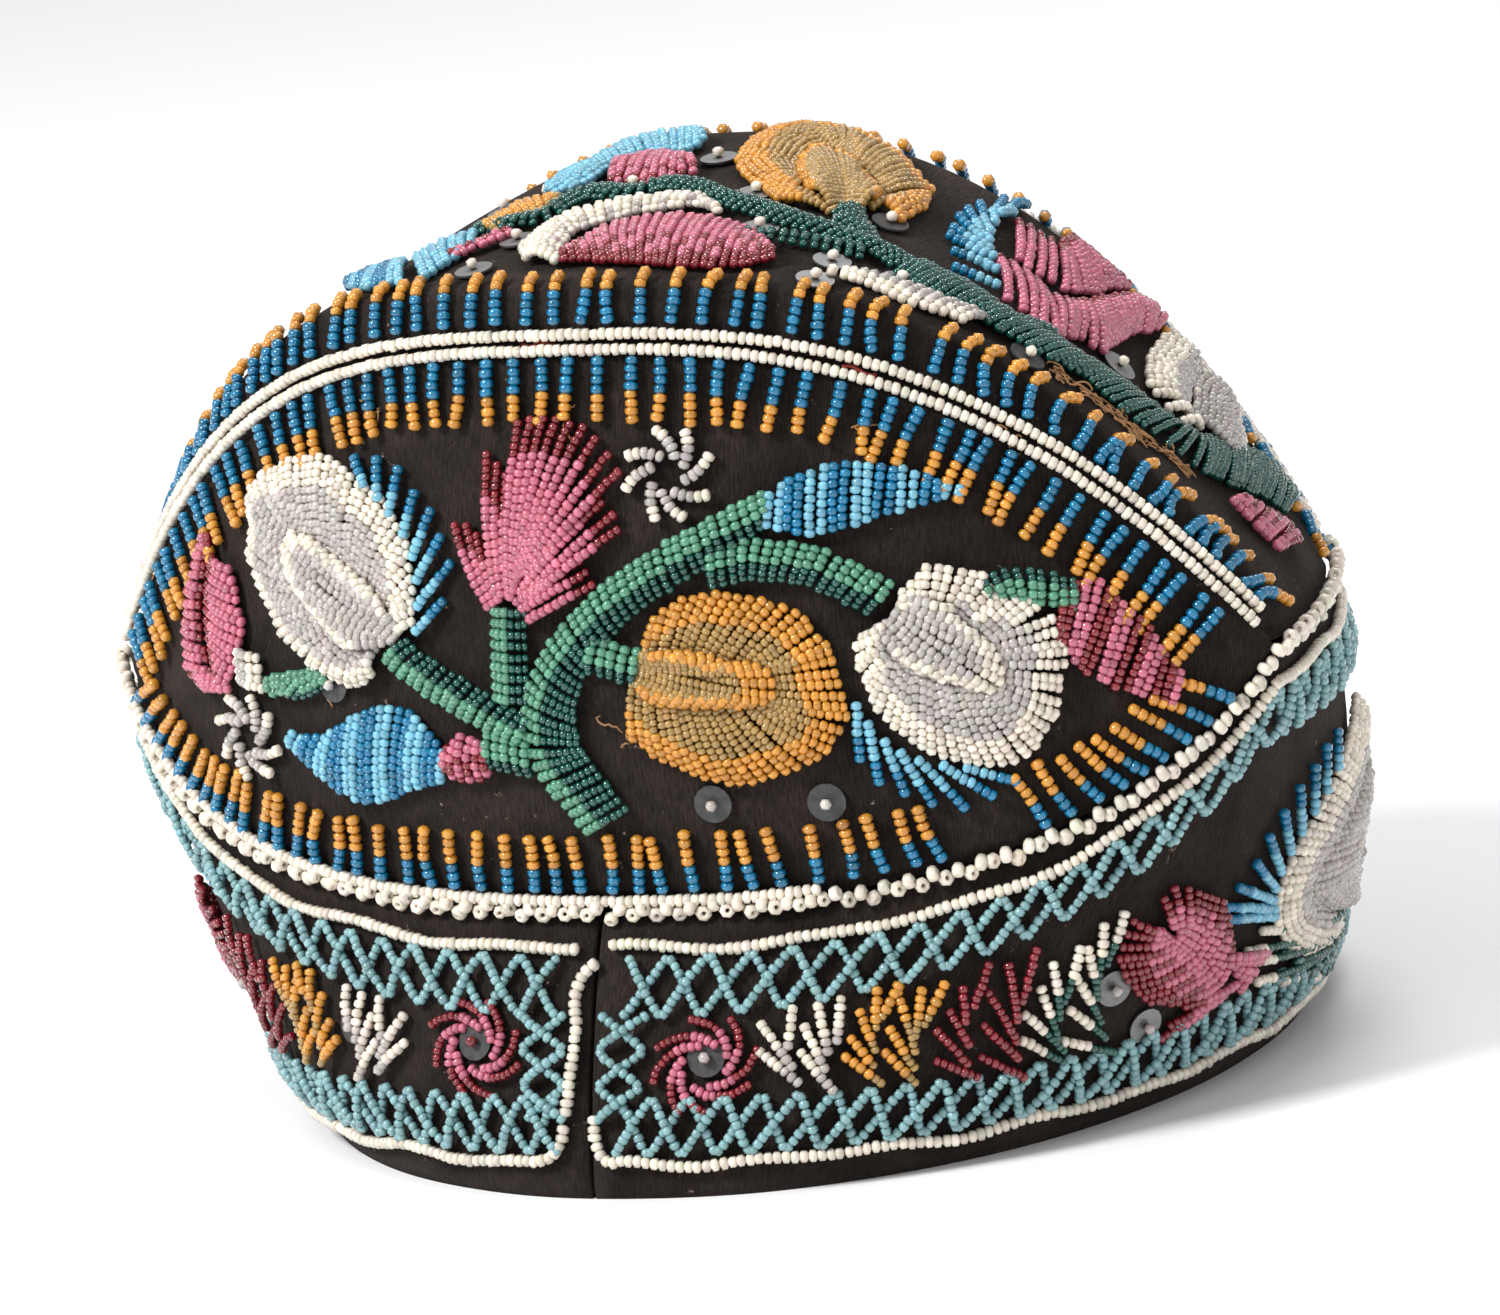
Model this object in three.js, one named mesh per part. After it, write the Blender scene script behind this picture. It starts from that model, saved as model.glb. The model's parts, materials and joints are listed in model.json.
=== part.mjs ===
// A beaded velvet cap in millimetres, +Z up, its front towards -Y, resting on its rim at z = 0.
// A side band rises from the head opening. A lens-shaped panel stands turned up in front, a domed
// panel with bent-down rims covers the top, and a plain panel closes the back. The beadwork on the
// cloth is given here as strings along the seams and as low pads, one for each raised motif.
import * as THREE from 'three';
import { mergeVertices } from 'three/addons/utils/BufferGeometryUtils.js';

// Head opening, at the rim of the band
const rimHalfWidth = 82.5;
const rimHalfDepth = 89.5;

// Crown seam, where the band meets the three upper panels
const cornerX = 104;
const cornerY = -33.5;
const frontReach = 74;
const backReach = 78;
const rearCornerY = 14;
const frontHeight = 43.5;
const cornerHeight = 75.5;
const rearCornerHeight = 76.5;
const backHeight = 52;
const frontSweep = 2.9;

// Seams over the cap: in front of the top panel and behind it
const frontSeamY = -67;
const frontSeamHeight = 134;
const frontSeamRound = 2.8;
const rearSeamY = 18;
const rearSeamHeight = 142;
const rearSeamRound = 2.8;
const rimRise = 9.5;

// Cloth
const wall = 2;
const seamGap = 0.3;
const bandSwell = 2;
const sideSwell = 3.5;
const frontSwell = 5;
const backSwell = 9;
const panelTip = 0.985;
const bandSlit = 0.8;

// Beadwork
const seedBead = 2.1;
const edgingBead = 3.8;
const beadClearance = 0.45;
const lineInset = 1.7;
const bandLineInset = 6.2;
const topLineShare = 0.04;
const motifSize = 34;
const motifRise = 2.6;
const stemWidth = 6.4;
const stemRise = 2.2;
const sequinDiameter = 6.2;
const sequinThickness = 0.35;

// Colours of the cloth and beads
const velvet = new THREE.MeshStandardMaterial({ color: 0x2a211c, roughness: 0.95, metalness: 0 });
const glass = (color, roughness = 0.3) => new THREE.MeshStandardMaterial({ color, roughness, metalness: 0 });
const white = glass(0xe8e2d6);
const opal = glass(0xc8c8d7);
const blue = glass(0x2a80b0);
const paleBlue = glass(0x73bee1);
const amber = glass(0xd79123);
const pink = glass(0xc85f91);
const darkRed = glass(0x7a1f2a);
const green = glass(0x3c8c69);
const smoke = glass(0x505050, 0.45);

const clamp = (value, low, high) => Math.min(Math.max(value, low), high);
const lerp = (a, b, share) => a + (b - a) * share;
const smooth = (share) => THREE.MathUtils.smoothstep(share, 0, 1);

// Angles along the crown seam, 0 in front: the front corner and the rear corner of the top panel
const cornerAngle = Math.acos(-cornerY / frontReach);
const frontHalfWidth = cornerX / Math.sin(cornerAngle);
const backDepth = backReach - cornerY;
const backAngle = (share) => cornerAngle + share * (Math.PI - cornerAngle);
const rearCornerAngle = backAngle(Math.asin((rearCornerY - cornerY) / backDepth) / (Math.PI / 2));

// A point of the crown seam: a wide ellipse in front of the corners, a narrower one behind them,
// swept up from the middle of the front and falling again behind the rear corners.
function crownSeam(angle) {
  const turn = Math.abs(angle);
  const side = Math.sign(angle);
  if (turn <= cornerAngle) {
    const rise = Math.pow(turn / cornerAngle, frontSweep);
    const height = lerp(frontHeight, cornerHeight, rise);
    return new THREE.Vector3(side * frontHalfWidth * Math.sin(turn), -frontReach * Math.cos(turn), height);
  }
  const back = ((turn - cornerAngle) / (Math.PI - cornerAngle)) * (Math.PI / 2);
  const level = (turn - cornerAngle) / (rearCornerAngle - cornerAngle);
  const fall = (turn - rearCornerAngle) / (Math.PI - rearCornerAngle);
  const height = level < 1 ? lerp(cornerHeight, rearCornerHeight, level)
    : lerp(rearCornerHeight, backHeight, smooth(fall));
  return new THREE.Vector3(side * cornerX * Math.cos(back), cornerY + backDepth * Math.sin(back), height);
}

const rimPoint = (angle) =>
  new THREE.Vector3(rimHalfWidth * Math.sin(angle), -rimHalfDepth * Math.cos(angle), 0);

// The line inside the cap that every wall is thickened towards
function outwardFrom(point) {
  const level = 0.8 * cornerHeight;
  const lean = clamp(point.z / level, 0, 1);
  const height = point.z < level ? point.z : lerp(level, point.z, 0.4);
  return point.clone().sub(new THREE.Vector3(0, 0.6 * cornerY * lean, height)).normalize();
}

// Angles along the band run on past the middle of the back; this brings them to -PI..PI
const wrapped = (angle) => (angle > Math.PI ? angle - 2 * Math.PI : angle);

// Band: straight from rim to seam, swollen a little at mid height and more at the sides
function bandFace(angle, share) {
  const turn = wrapped(angle);
  const sides = smooth((Math.abs(turn) - 0.87 * cornerAngle) / (0.55 * cornerAngle));
  const swell = (bandSwell + sideSwell * sides) * Math.sin(Math.PI * share);
  const point = rimPoint(turn).lerp(crownSeam(turn), share);
  return point.addScaledVector(outwardFrom(point), swell);
}

// A seam over the cap, from corner to corner: side runs from -1 to 1
function arch(corner, middleY, middleHeight, round, side) {
  const fullness = 1 - Math.pow(Math.abs(side), round);
  return new THREE.Vector3(corner.x * side, lerp(corner.y, middleY, 1 - side * side),
    lerp(corner.z, middleHeight, fullness));
}

const frontCorner = crownSeam(cornerAngle);
const rearCorner = crownSeam(rearCornerAngle);
const frontSeam = (side) => arch(frontCorner, frontSeamY, frontSeamHeight, frontSeamRound, side);
const rearSeam = (side) => arch(rearCorner, rearSeamY, rearSeamHeight, rearSeamRound, side);

// Front panel: nearly upright between the crown seam and the front seam, bowed forward
function frontFace(side, share) {
  const low = crownSeam(Math.asin(clamp(side * Math.sin(cornerAngle), -1, 1)));
  const point = low.lerp(frontSeam(side), share);
  point.y -= frontSwell * Math.sin(Math.PI * share) * (1 - side * side);
  return point;
}

// Sections of the top panel from its front seam to its rear seam: share is the place across the
// panel, corner the place of its ends along the crown seam, way the share of the way back and up
// between the two seams, rise the height over them in rim rises, and round the fullness of its arch.
const topSections = [
  { share: 0.00, corner: 0.00, way: 0.000, rise: 0.00, round: 2.80 },
  { share: 0.06, corner: 0.08, way: 0.008, rise: 0.45, round: 2.95 },
  { share: 0.11, corner: 0.16, way: 0.030, rise: 0.86, round: 3.10 },
  { share: 0.17, corner: 0.24, way: 0.080, rise: 0.92, round: 3.05 },
  { share: 0.28, corner: 0.34, way: 0.200, rise: 1.00, round: 2.90 },
  { share: 0.50, corner: 0.52, way: 0.480, rise: 1.18, round: 2.55 },
  { share: 0.72, corner: 0.70, way: 0.760, rise: 1.22, round: 2.42 },
  { share: 0.83, corner: 0.79, way: 0.890, rise: 1.20, round: 2.40 },
  { share: 0.89, corner: 0.86, way: 0.955, rise: 0.90, round: 2.45 },
  { share: 0.94, corner: 0.93, way: 0.985, rise: 0.50, round: 2.60 },
  { share: 1.00, corner: 1.00, way: 1.000, rise: 0.00, round: 2.80 },
];

function topSection(share) {
  const next = Math.max(topSections.findIndex((row) => row.share >= clamp(share, 0, 1)), 1);
  const [from, to] = topSections.slice(next - 1, next + 1);
  const between = clamp((share - from.share) / (to.share - from.share), 0, 1);
  return {
    corner: lerp(from.corner, to.corner, between),
    way: lerp(from.way, to.way, between),
    rise: lerp(from.rise, to.rise, between),
    round: lerp(from.round, to.round, between),
  };
}

// Top panel: a bent rim, a shallow dome higher at the back, and a second bent rim
function topFace(side, share) {
  const { corner, way, rise, round } = topSection(share);
  const end = crownSeam(lerp(cornerAngle, rearCornerAngle, corner));
  const height = lerp(frontSeamHeight, rearSeamHeight, way) + rimRise * rise;
  return arch(end, lerp(frontSeamY, rearSeamY, way), height, round, side);
}

// Back panel: slopes from the rear seam down to the crown seam behind, bowed outward
function backFace(side, share) {
  const back = Math.acos(clamp(Math.abs(rearCorner.x * side) / cornerX, 0, 1)) / (Math.PI / 2);
  const low = crownSeam((side < 0 ? -1 : 1) * backAngle(back));
  const point = low.lerp(rearSeam(side), share);
  const swell = backSwell * Math.sin(Math.PI * share) * (1 - side * side);
  return point.add(new THREE.Vector3(0, 0.75 * swell, 0.65 * swell));
}

// The outward normal of a face at a place on it
function normalAt(face, u, v) {
  const step = 0.004;
  const across = face(u + step, v).sub(face(u - step, v));
  const along = face(u, clamp(v + step, 0, 1)).sub(face(u, clamp(v - step, 0, 1)));
  const normal = across.cross(along).normalize();
  return normal.dot(outwardFrom(face(u, v))) < 0 ? normal.negate() : normal;
}

// A closed mesh from points and triangles, turned so that its faces point out
function solid(points, triangles) {
  const geometry = new THREE.BufferGeometry();
  geometry.setAttribute('position', new THREE.Float32BufferAttribute(points.flatMap((p) => p.toArray()), 3));
  const volume = triangles.reduce((sum, [a, b, c]) =>
    sum + points[a].dot(points[b].clone().cross(points[c])), 0);
  const facing = volume < 0 ? triangles.map(([a, b, c]) => [a, c, b]) : triangles;
  geometry.setIndex(facing.flat());
  geometry.computeVertexNormals();
  return geometry;
}

const series = (count, from, to) => Array.from({ length: count + 1 }, (_, i) => lerp(from, to, i / count));

// A cloth panel one wall thick: outer face, inner face, and the cut edges between them.
// Its outer corners come from place(u, v); the wall is measured square to the face.
function clothPanel(face, columns, rows, place = face) {
  const points = [];
  for (const inner of [false, true]) {
    for (const u of columns) {
      for (const v of rows) {
        const point = place(u, v);
        const outward = outwardFrom(point);
        const square = Math.max(outward.dot(normalAt(face, u, v)), 0.6);
        points.push(inner ? point.addScaledVector(outward, -wall / square) : point);
      }
    }
  }
  const across = rows.length;
  const layer = columns.length * across;
  const at = (i, j, deep) => deep * layer + i * across + j;
  const triangles = [];
  const quad = (a, b, c, d) => triangles.push([a, b, c], [a, c, d]);
  for (let i = 0; i + 1 < columns.length; i += 1) {
    for (let j = 0; j + 1 < across; j += 1) {
      quad(at(i, j, 0), at(i + 1, j, 0), at(i + 1, j + 1, 0), at(i, j + 1, 0));
      quad(at(i, j, 1), at(i, j + 1, 1), at(i + 1, j + 1, 1), at(i + 1, j, 1));
    }
    quad(at(i, 0, 0), at(i, 0, 1), at(i + 1, 0, 1), at(i + 1, 0, 0));
    quad(at(i, across - 1, 0), at(i + 1, across - 1, 0), at(i + 1, across - 1, 1), at(i, across - 1, 1));
  }
  const end = columns.length - 1;
  for (let j = 0; j + 1 < across; j += 1) {
    quad(at(0, j, 0), at(0, j + 1, 0), at(0, j + 1, 1), at(0, j, 1));
    quad(at(end, j, 0), at(end, j, 1), at(end, j + 1, 1), at(end, j + 1, 0));
  }
  return solid(points, triangles);
}

// A face drawn in by half the seam gap along its lower and upper edges
function trimmed(face) {
  return (u, v) => {
    const inset = seamGap / face(u, 0).distanceTo(face(u, 1));
    return face(u, lerp(inset, 1 - inset, v));
  };
}

// A string of beads along a path that stands off a face
function beadString(path, diameter, steps) {
  const section = new THREE.Shape(new THREE.EllipseCurve(0, 0, diameter / 2, diameter / 2).getPoints(8).slice(0, 8));
  const curve = new THREE.CatmullRomCurve3(path);
  return new THREE.ExtrudeGeometry(section, { steps, extrudePath: curve, bevelEnabled: false });
}

// Points that stand off a face by the clearance and half a bead
function standOff(face, places, diameter) {
  const lift = diameter / 2 + beadClearance;
  return places.map(([u, v]) => face(u, v).addScaledVector(normalAt(face, u, v), lift));
}

// A low pad on a face: an outline in shares of its half width and half height round its middle,
// turned by its slant, flat below and crowned above
function motifPad(face, { u, v, wide, high, slant = 0 }) {
  const sectors = 12;
  const rings = [0, 0.6, 1];
  const middle = face(u, v);
  const step = 0.01;
  const acrossLength = face(u + step, v).distanceTo(middle) / step;
  const upLength = face(u, clamp(v + step, 0, 1)).distanceTo(middle) / step;
  const edge = motifRise * 0.35;
  const points = [];
  for (const top of [0, 1]) {
    for (const ring of rings.slice(1)) {
      for (let k = 0; k < sectors; k += 1) {
        const angle = (2 * Math.PI * k) / sectors;
        const a = Math.cos(angle) * ring * (wide * motifSize) / 2;
        const b = Math.sin(angle) * ring * (high * motifSize) / 2;
        const across = a * Math.cos(slant) - b * Math.sin(slant);
        const up = a * Math.sin(slant) + b * Math.cos(slant);
        const place = [u + across / acrossLength, clamp(v + up / upLength, 0, 1)];
        const lift = beadClearance + top * lerp(motifRise, edge, ring * ring);
        points.push(face(...place).addScaledVector(normalAt(face, ...place), lift));
      }
    }
    points.push(middle.clone().addScaledVector(normalAt(face, u, v), beadClearance + top * motifRise));
  }
  const layer = (rings.length - 1) * sectors + 1;
  const triangles = [];
  for (let k = 0; k < sectors; k += 1) {
    const next = (k + 1) % sectors;
    for (const base of [0, layer]) {
      const faces = [[base + layer - 1, base + k, base + next],
        [base + k, base + sectors + k, base + sectors + next],
        [base + k, base + sectors + next, base + next]];
      for (const [p, q, r] of faces) triangles.push(base ? [p, q, r] : [p, r, q]);
    }
    const low = sectors + k;
    const lowNext = sectors + next;
    triangles.push([low, lowNext, layer + lowNext], [low, layer + lowNext, layer + low]);
  }
  return solid(points, triangles);
}

// A raised stem on a face: an arched section carried along its route
function stem(face, route, width = stemWidth) {
  const curve = new THREE.CatmullRomCurve3(route.map(([u, v]) => new THREE.Vector3(u, v, 0)));
  const count = 3 * (route.length - 1);
  const profile = [[-0.5, 0], [-0.5, 0.35], [-0.2, 1], [0.2, 1], [0.5, 0.35], [0.5, 0]];
  const points = [];
  for (let i = 0; i <= count; i += 1) {
    const here = curve.getPoint(i / count);
    const ahead = curve.getPoint(Math.min(i / count + 0.01, 1));
    const behind = curve.getPoint(Math.max(i / count - 0.01, 0));
    const normal = normalAt(face, here.x, here.y);
    const tangent = face(ahead.x, ahead.y).sub(face(behind.x, behind.y)).normalize();
    const sideways = tangent.cross(normal).normalize();
    const base = face(here.x, here.y).addScaledVector(normal, beadClearance);
    for (const [offset, lift] of profile) {
      const point = base.clone().addScaledVector(sideways, offset * width);
      points.push(point.addScaledVector(normal, lift * stemRise));
    }
  }
  const corners = profile.length;
  const triangles = [];
  for (let i = 0; i < count; i += 1) {
    for (let j = 0; j < corners; j += 1) {
      const [a, b] = [i * corners + j, i * corners + ((j + 1) % corners)];
      triangles.push([a, b, b + corners], [a, b + corners, a + corners]);
    }
  }
  for (let j = 1; j + 1 < corners; j += 1) {
    const last = count * corners;
    triangles.push([0, j + 1, j], [last, last + j, last + j + 1]);
  }
  return solid(points, triangles);
}

const cap = new THREE.Group();

function add(name, geometry, material) {
  const mesh = new THREE.Mesh(geometry, material);
  mesh.name = name;
  cap.add(mesh);
  return mesh;
}

// The velvet panels. The band is one strip whose two ends meet at the middle of the front.
function addCloth() {
  const slit = bandSlit / 2 / rimHalfDepth;
  const bandEdge = (u, v) => bandFace(u, v * (1 - 2 * seamGap / frontHeight));
  add('side_band', clothPanel(bandFace, series(44, slit, 2 * Math.PI - slit), series(4, 0, 1), bandEdge), velvet);
  const columns = series(22, -panelTip, panelTip);
  add('front_panel', clothPanel(frontFace, columns, series(5, 0, 1), trimmed(frontFace)), velvet);
  const topColumns = series(26, -1 + seamGap / cornerX, 1 - seamGap / cornerX);
  const rows = topSections.map((row) => row.share);
  const firstRun = topFace(0, 0).distanceTo(topFace(0, rows[1]));
  rows[0] = (rows[1] * seamGap) / firstRun;
  rows[rows.length - 1] = 1 - rows[0];
  add('top_panel', clothPanel(topFace, topColumns, rows), velvet);
  add('back_panel', clothPanel(backFace, columns, series(5, 0, 1), trimmed(backFace)), velvet);
}

// The thin lines of beads on the upper panels, just inside their seams
function addPanelLines() {
  const tips = 0.93;
  const sides = series(40, -tips, tips);
  const underSeam = (face) => (side) => {
    const height = face(side, 0).distanceTo(face(side, 1));
    return [side, 1 - (lineInset + seamGap) / height];
  };
  const lines = [
    { name: 'front_panel_line', face: frontFace, places: sides.map(underSeam(frontFace)) },
    { name: 'back_panel_line', face: backFace, places: sides.map(underSeam(backFace)) },
    { name: 'top_panel_front_line', face: topFace, places: sides.map((side) => [side, topLineShare]) },
    { name: 'top_panel_rear_line', face: topFace, places: sides.map((side) => [side, 1 - topLineShare]) },
  ];
  for (const { name, face, places } of lines) {
    add(name, beadString(standOff(face, places, seedBead), seedBead, 36), white);
  }
}

// The two lines of beads round the band, one under the crown seam and one over the rim
function addBandLines() {
  const slit = (bandSlit / 2 + seedBead) / rimHalfDepth;
  const angles = series(72, slit, 2 * Math.PI - slit);
  const heightAt = (angle) => crownSeam(wrapped(angle)).distanceTo(rimPoint(wrapped(angle)));
  const upper = angles.map((angle) => [angle, 1 - bandLineInset / heightAt(angle)]);
  const lower = angles.map((angle) => [angle, bandLineInset / heightAt(angle)]);
  add('band_upper_line', beadString(standOff(bandFace, upper, seedBead), seedBead, 60), white);
  add('band_lower_line', beadString(standOff(bandFace, lower, seedBead), seedBead, 60), white);
}

// The stout edging that covers the crown seam, tied off at the middle of the back
function addEdging() {
  const end = Math.PI - seamGap / backReach;
  const edge = series(80, -end, end).map((angle) => {
    const point = crownSeam(angle);
    return point.addScaledVector(outwardFrom(point), edgingBead / 2 + beadClearance);
  });
  add('crown_edging', beadString(edge, edgingBead, 64), white);
}

// Raised motifs: place on the panel, width and height in motif sizes, and slant in radians
const motifs = [
  { name: 'front_white_flower_left', face: frontFace, material: opal, u: -0.405, v: 0.64, wide: 0.72, high: 1.1, slant: 0.35 },
  { name: 'front_blue_calyx_left', face: frontFace, material: blue, u: -0.24, v: 0.70, wide: 0.16, high: 0.9, slant: 0.5 },
  { name: 'front_pink_side_flower', face: frontFace, material: pink, u: -0.715, v: 0.62, wide: 0.42, high: 0.78 },
  { name: 'front_tulip', face: frontFace, material: pink, u: -0.02, v: 0.71, wide: 0.78, high: 0.95 },
  { name: 'front_gold_flower', face: frontFace, material: amber, u: 0.272, v: 0.4, wide: 1.0, high: 0.86 },
  { name: 'front_white_flower_right', face: frontFace, material: opal, u: 0.597, v: 0.44, wide: 0.88, high: 0.92 },
  { name: 'front_blue_leaf_upper', face: frontFace, material: paleBlue, u: 0.47, v: 0.765, wide: 0.85, high: 0.34 },
  { name: 'front_blue_leaf_lower', face: frontFace, material: paleBlue, u: -0.375, v: 0.28, wide: 0.78, high: 0.42 },
  { name: 'front_pink_leaf', face: frontFace, material: pink, u: 0.81, v: 0.47, wide: 0.34, high: 0.8, slant: 0.55 },
  { name: 'front_berry', face: frontFace, material: darkRed, u: -0.182, v: 0.28, wide: 0.2, high: 0.24 },
  { name: 'top_gold_flower', face: topFace, material: amber, u: 0.268, v: 0.62, wide: 0.8, high: 0.95 },
  { name: 'top_pink_flower', face: topFace, material: pink, u: 0.13, v: 0.29, wide: 1.05, high: 0.34 },
  { name: 'top_tulip', face: topFace, material: pink, u: 0.64, v: 0.67, wide: 0.62, high: 0.8 },
  { name: 'top_white_flower', face: topFace, material: opal, u: 0.81, v: 0.76, wide: 0.62, high: 0.62 },
  { name: 'top_blue_leaf', face: topFace, material: paleBlue, u: -0.08, v: 0.64, wide: 0.75, high: 0.3 },
  { name: 'top_gold_flower_left', face: topFace, material: amber, u: -0.24, v: 0.36, wide: 0.5, high: 0.5 },
  { name: 'band_white_flower_right', face: bandFace, material: opal, u: 1.52, v: 0.45, wide: 0.95, high: 1.0 },
  { name: 'band_white_flower_left', face: bandFace, material: opal, u: -1.52, v: 0.45, wide: 0.95, high: 1.0 },
  { name: 'band_pink_flower_right', face: bandFace, material: pink, u: 1.05, v: 0.37, wide: 0.62, high: 0.55 },
  { name: 'band_pink_flower_left', face: bandFace, material: pink, u: -1.05, v: 0.37, wide: 0.62, high: 0.55 },
];

// Stems: routes on their panels, from foot to tip
const stems = [
  { name: 'front_main_stem', face: frontFace,
    route: [[0.03, 0.18], [-0.05, 0.32], [0.02, 0.47], [0.15, 0.62], [0.26, 0.705], [0.31, 0.74]] },
  { name: 'front_left_branch', face: frontFace, route: [[-0.28, 0.475], [-0.18, 0.41], [-0.1, 0.36]] },
  { name: 'front_right_branch', face: frontFace, route: [[0.285, 0.625], [0.37, 0.645], [0.47, 0.595]] },
  { name: 'top_main_stem', face: topFace,
    route: [[-0.2, 0.45], [-0.05, 0.52], [0.08, 0.51], [0.24, 0.42], [0.44, 0.345], [0.6, 0.3], [0.75, 0.36]] },
];

function addMotifs() {
  for (const motif of motifs) add(motif.name, motifPad(motif.face, motif), motif.material);
  for (const { name, face, route } of stems) add(name, stem(face, route), green);
}

// Sequins: thin discs, each held by one bead through its middle
const sequins = [
  { face: frontFace, u: -0.43, v: 0.415 },
  { face: frontFace, u: 0.215, v: 0.193 },
  { face: frontFace, u: 0.387, v: 0.182 },
  { face: bandFace, u: 0.195, v: 0.495 },
  { face: bandFace, u: -0.204, v: 0.54 },
  { face: bandFace, u: -0.468, v: 0.52 },
  { face: topFace, u: 0.40, v: 0.5 },
  { face: topFace, u: 0.67, v: 0.2 },
];

function addSequins() {
  sequins.forEach(({ face, u, v }, index) => {
    const disc = new THREE.CylinderGeometry(sequinDiameter / 2, sequinDiameter / 2, sequinThickness, 16);
    const mesh = add(`sequin_${index + 1}`, mergeVertices(disc), smoke);
    const normal = normalAt(face, u, v);
    mesh.quaternion.setFromUnitVectors(new THREE.Vector3(0, 1, 0), normal);
    mesh.position.copy(face(u, v)).addScaledVector(normal, beadClearance + sequinThickness / 2);
  });
}

addCloth();
addPanelLines();
addBandLines();
addEdging();
addMotifs();
addSequins();

export default cap;
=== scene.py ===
"""A soft velvet cap with raised floral glass beadwork, standing on its rim."""
import json

import bpy
import numpy as np
from mathutils import Matrix, Vector

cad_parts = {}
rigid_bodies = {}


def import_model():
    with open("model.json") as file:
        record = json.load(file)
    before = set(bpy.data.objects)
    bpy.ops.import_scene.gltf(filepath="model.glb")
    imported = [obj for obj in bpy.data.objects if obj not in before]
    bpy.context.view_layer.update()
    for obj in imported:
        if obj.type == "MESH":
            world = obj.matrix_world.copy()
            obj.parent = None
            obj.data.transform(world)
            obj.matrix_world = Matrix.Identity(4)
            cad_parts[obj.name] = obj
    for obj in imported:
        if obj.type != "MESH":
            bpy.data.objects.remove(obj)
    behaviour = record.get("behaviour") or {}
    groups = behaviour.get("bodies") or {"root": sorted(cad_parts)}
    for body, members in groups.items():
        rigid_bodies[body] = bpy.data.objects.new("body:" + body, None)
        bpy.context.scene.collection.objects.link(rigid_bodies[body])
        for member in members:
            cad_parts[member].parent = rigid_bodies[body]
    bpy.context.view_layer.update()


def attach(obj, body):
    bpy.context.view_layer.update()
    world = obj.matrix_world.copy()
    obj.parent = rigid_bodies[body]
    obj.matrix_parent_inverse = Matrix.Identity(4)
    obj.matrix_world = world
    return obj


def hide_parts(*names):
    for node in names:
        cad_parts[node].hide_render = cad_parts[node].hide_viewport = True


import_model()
MM = 0.001

# View, floor and light. The camera stands where the photograph's camera stood: to the right of the
# cap's front, a little above it and slightly rolled. The floor is a pale seamless sheet, lit by a
# large soft lamp from the upper left and weaker ones from the right and from above.
AZIMUTH, ELEVATION, ROLL = np.radians((26.2, 13.05, 6.96))
CAMERA_DISTANCE = 1338
PIXELS_PER_MM = 6.03
PHOTO_WIDTH = 1500
SENSOR = 36
CAMERA_TARGET = np.array((-3.75, -2.03, 65.84))
FLOOR_RADIUS = 6.0
FLOOR_COLOUR = (0.93, 0.93, 0.94)
FLOOR_SIDES = 96
SKY_STRENGTH = 0.52
LAMP_AIM = (0, 0, 0.06)
LAMPS = (
    # name, place in metres, width in metres, power in watts
    ("key_lamp", (-0.75, -1.05, 1.25), 0.5, 31),
    ("fill_lamp", (1.5, -0.9, 0.7), 1.2, 4),
    ("top_lamp", (0.1, 0.5, 1.7), 1.0, 14),
)

forward = np.array((
    -np.sin(AZIMUTH) * np.cos(ELEVATION),
    np.cos(AZIMUTH) * np.cos(ELEVATION),
    -np.sin(ELEVATION),
))
level_right = np.array((np.cos(AZIMUTH), np.sin(AZIMUTH), 0))
level_up = np.cross(level_right, forward)
camera_right = level_right * np.cos(ROLL) - level_up * np.sin(ROLL)
camera_up = level_right * np.sin(ROLL) + level_up * np.cos(ROLL)
camera = bpy.data.objects.new("camera", bpy.data.cameras.new("camera"))
camera.data.sensor_width = SENSOR
camera.data.lens = PIXELS_PER_MM * CAMERA_DISTANCE * SENSOR / PHOTO_WIDTH
turn = Matrix(np.stack((camera_right, camera_up, -forward), axis=1).tolist()).to_4x4()
place = (CAMERA_TARGET - forward * CAMERA_DISTANCE) * MM
camera.matrix_world = Matrix.Translation(place.tolist()) @ turn
bpy.context.scene.collection.objects.link(camera)
bpy.context.scene.camera = camera


def new_material(name, roughness, colour=(0.8, 0.8, 0.8)):
    """A material with its shader, of one colour until a pattern is wired in."""
    material = bpy.data.materials.new(name)
    material.use_nodes = True
    shader = material.node_tree.nodes["Principled BSDF"]
    shader.inputs["Base Color"].default_value = (*colour, 1)
    shader.inputs["Roughness"].default_value = roughness
    return material, shader


def new_object(name, mesh, materials):
    """An object at the origin, whose place is in its mesh."""
    piece = bpy.data.objects.new(name, mesh)
    for material in materials:
        mesh.materials.append(material)
    bpy.context.scene.collection.objects.link(piece)
    return piece


floor_ring = np.linspace(0, 2 * np.pi, FLOOR_SIDES, endpoint=False)
floor_mesh = bpy.data.meshes.new("floor")
floor_points = np.stack((np.cos(floor_ring), np.sin(floor_ring), 0 * floor_ring), axis=1) * FLOOR_RADIUS
floor_mesh.from_pydata(floor_points.tolist(), [], [list(range(len(floor_ring)))])
floor = new_object("floor", floor_mesh, [new_material("floor_paper", 0.9, FLOOR_COLOUR)[0]])

for lamp_name, lamp_place, lamp_width, lamp_power in LAMPS:
    lamp = bpy.data.objects.new(lamp_name, bpy.data.lights.new(lamp_name, "AREA"))
    lamp.data.shape = "DISK"
    lamp.data.size = lamp_width
    lamp.data.energy = lamp_power
    aim = Vector(LAMP_AIM) - Vector(lamp_place)
    lamp.matrix_world = Matrix.Translation(lamp_place) @ aim.to_track_quat("-Z", "Y").to_matrix().to_4x4()
    bpy.context.scene.collection.objects.link(lamp)

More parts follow.
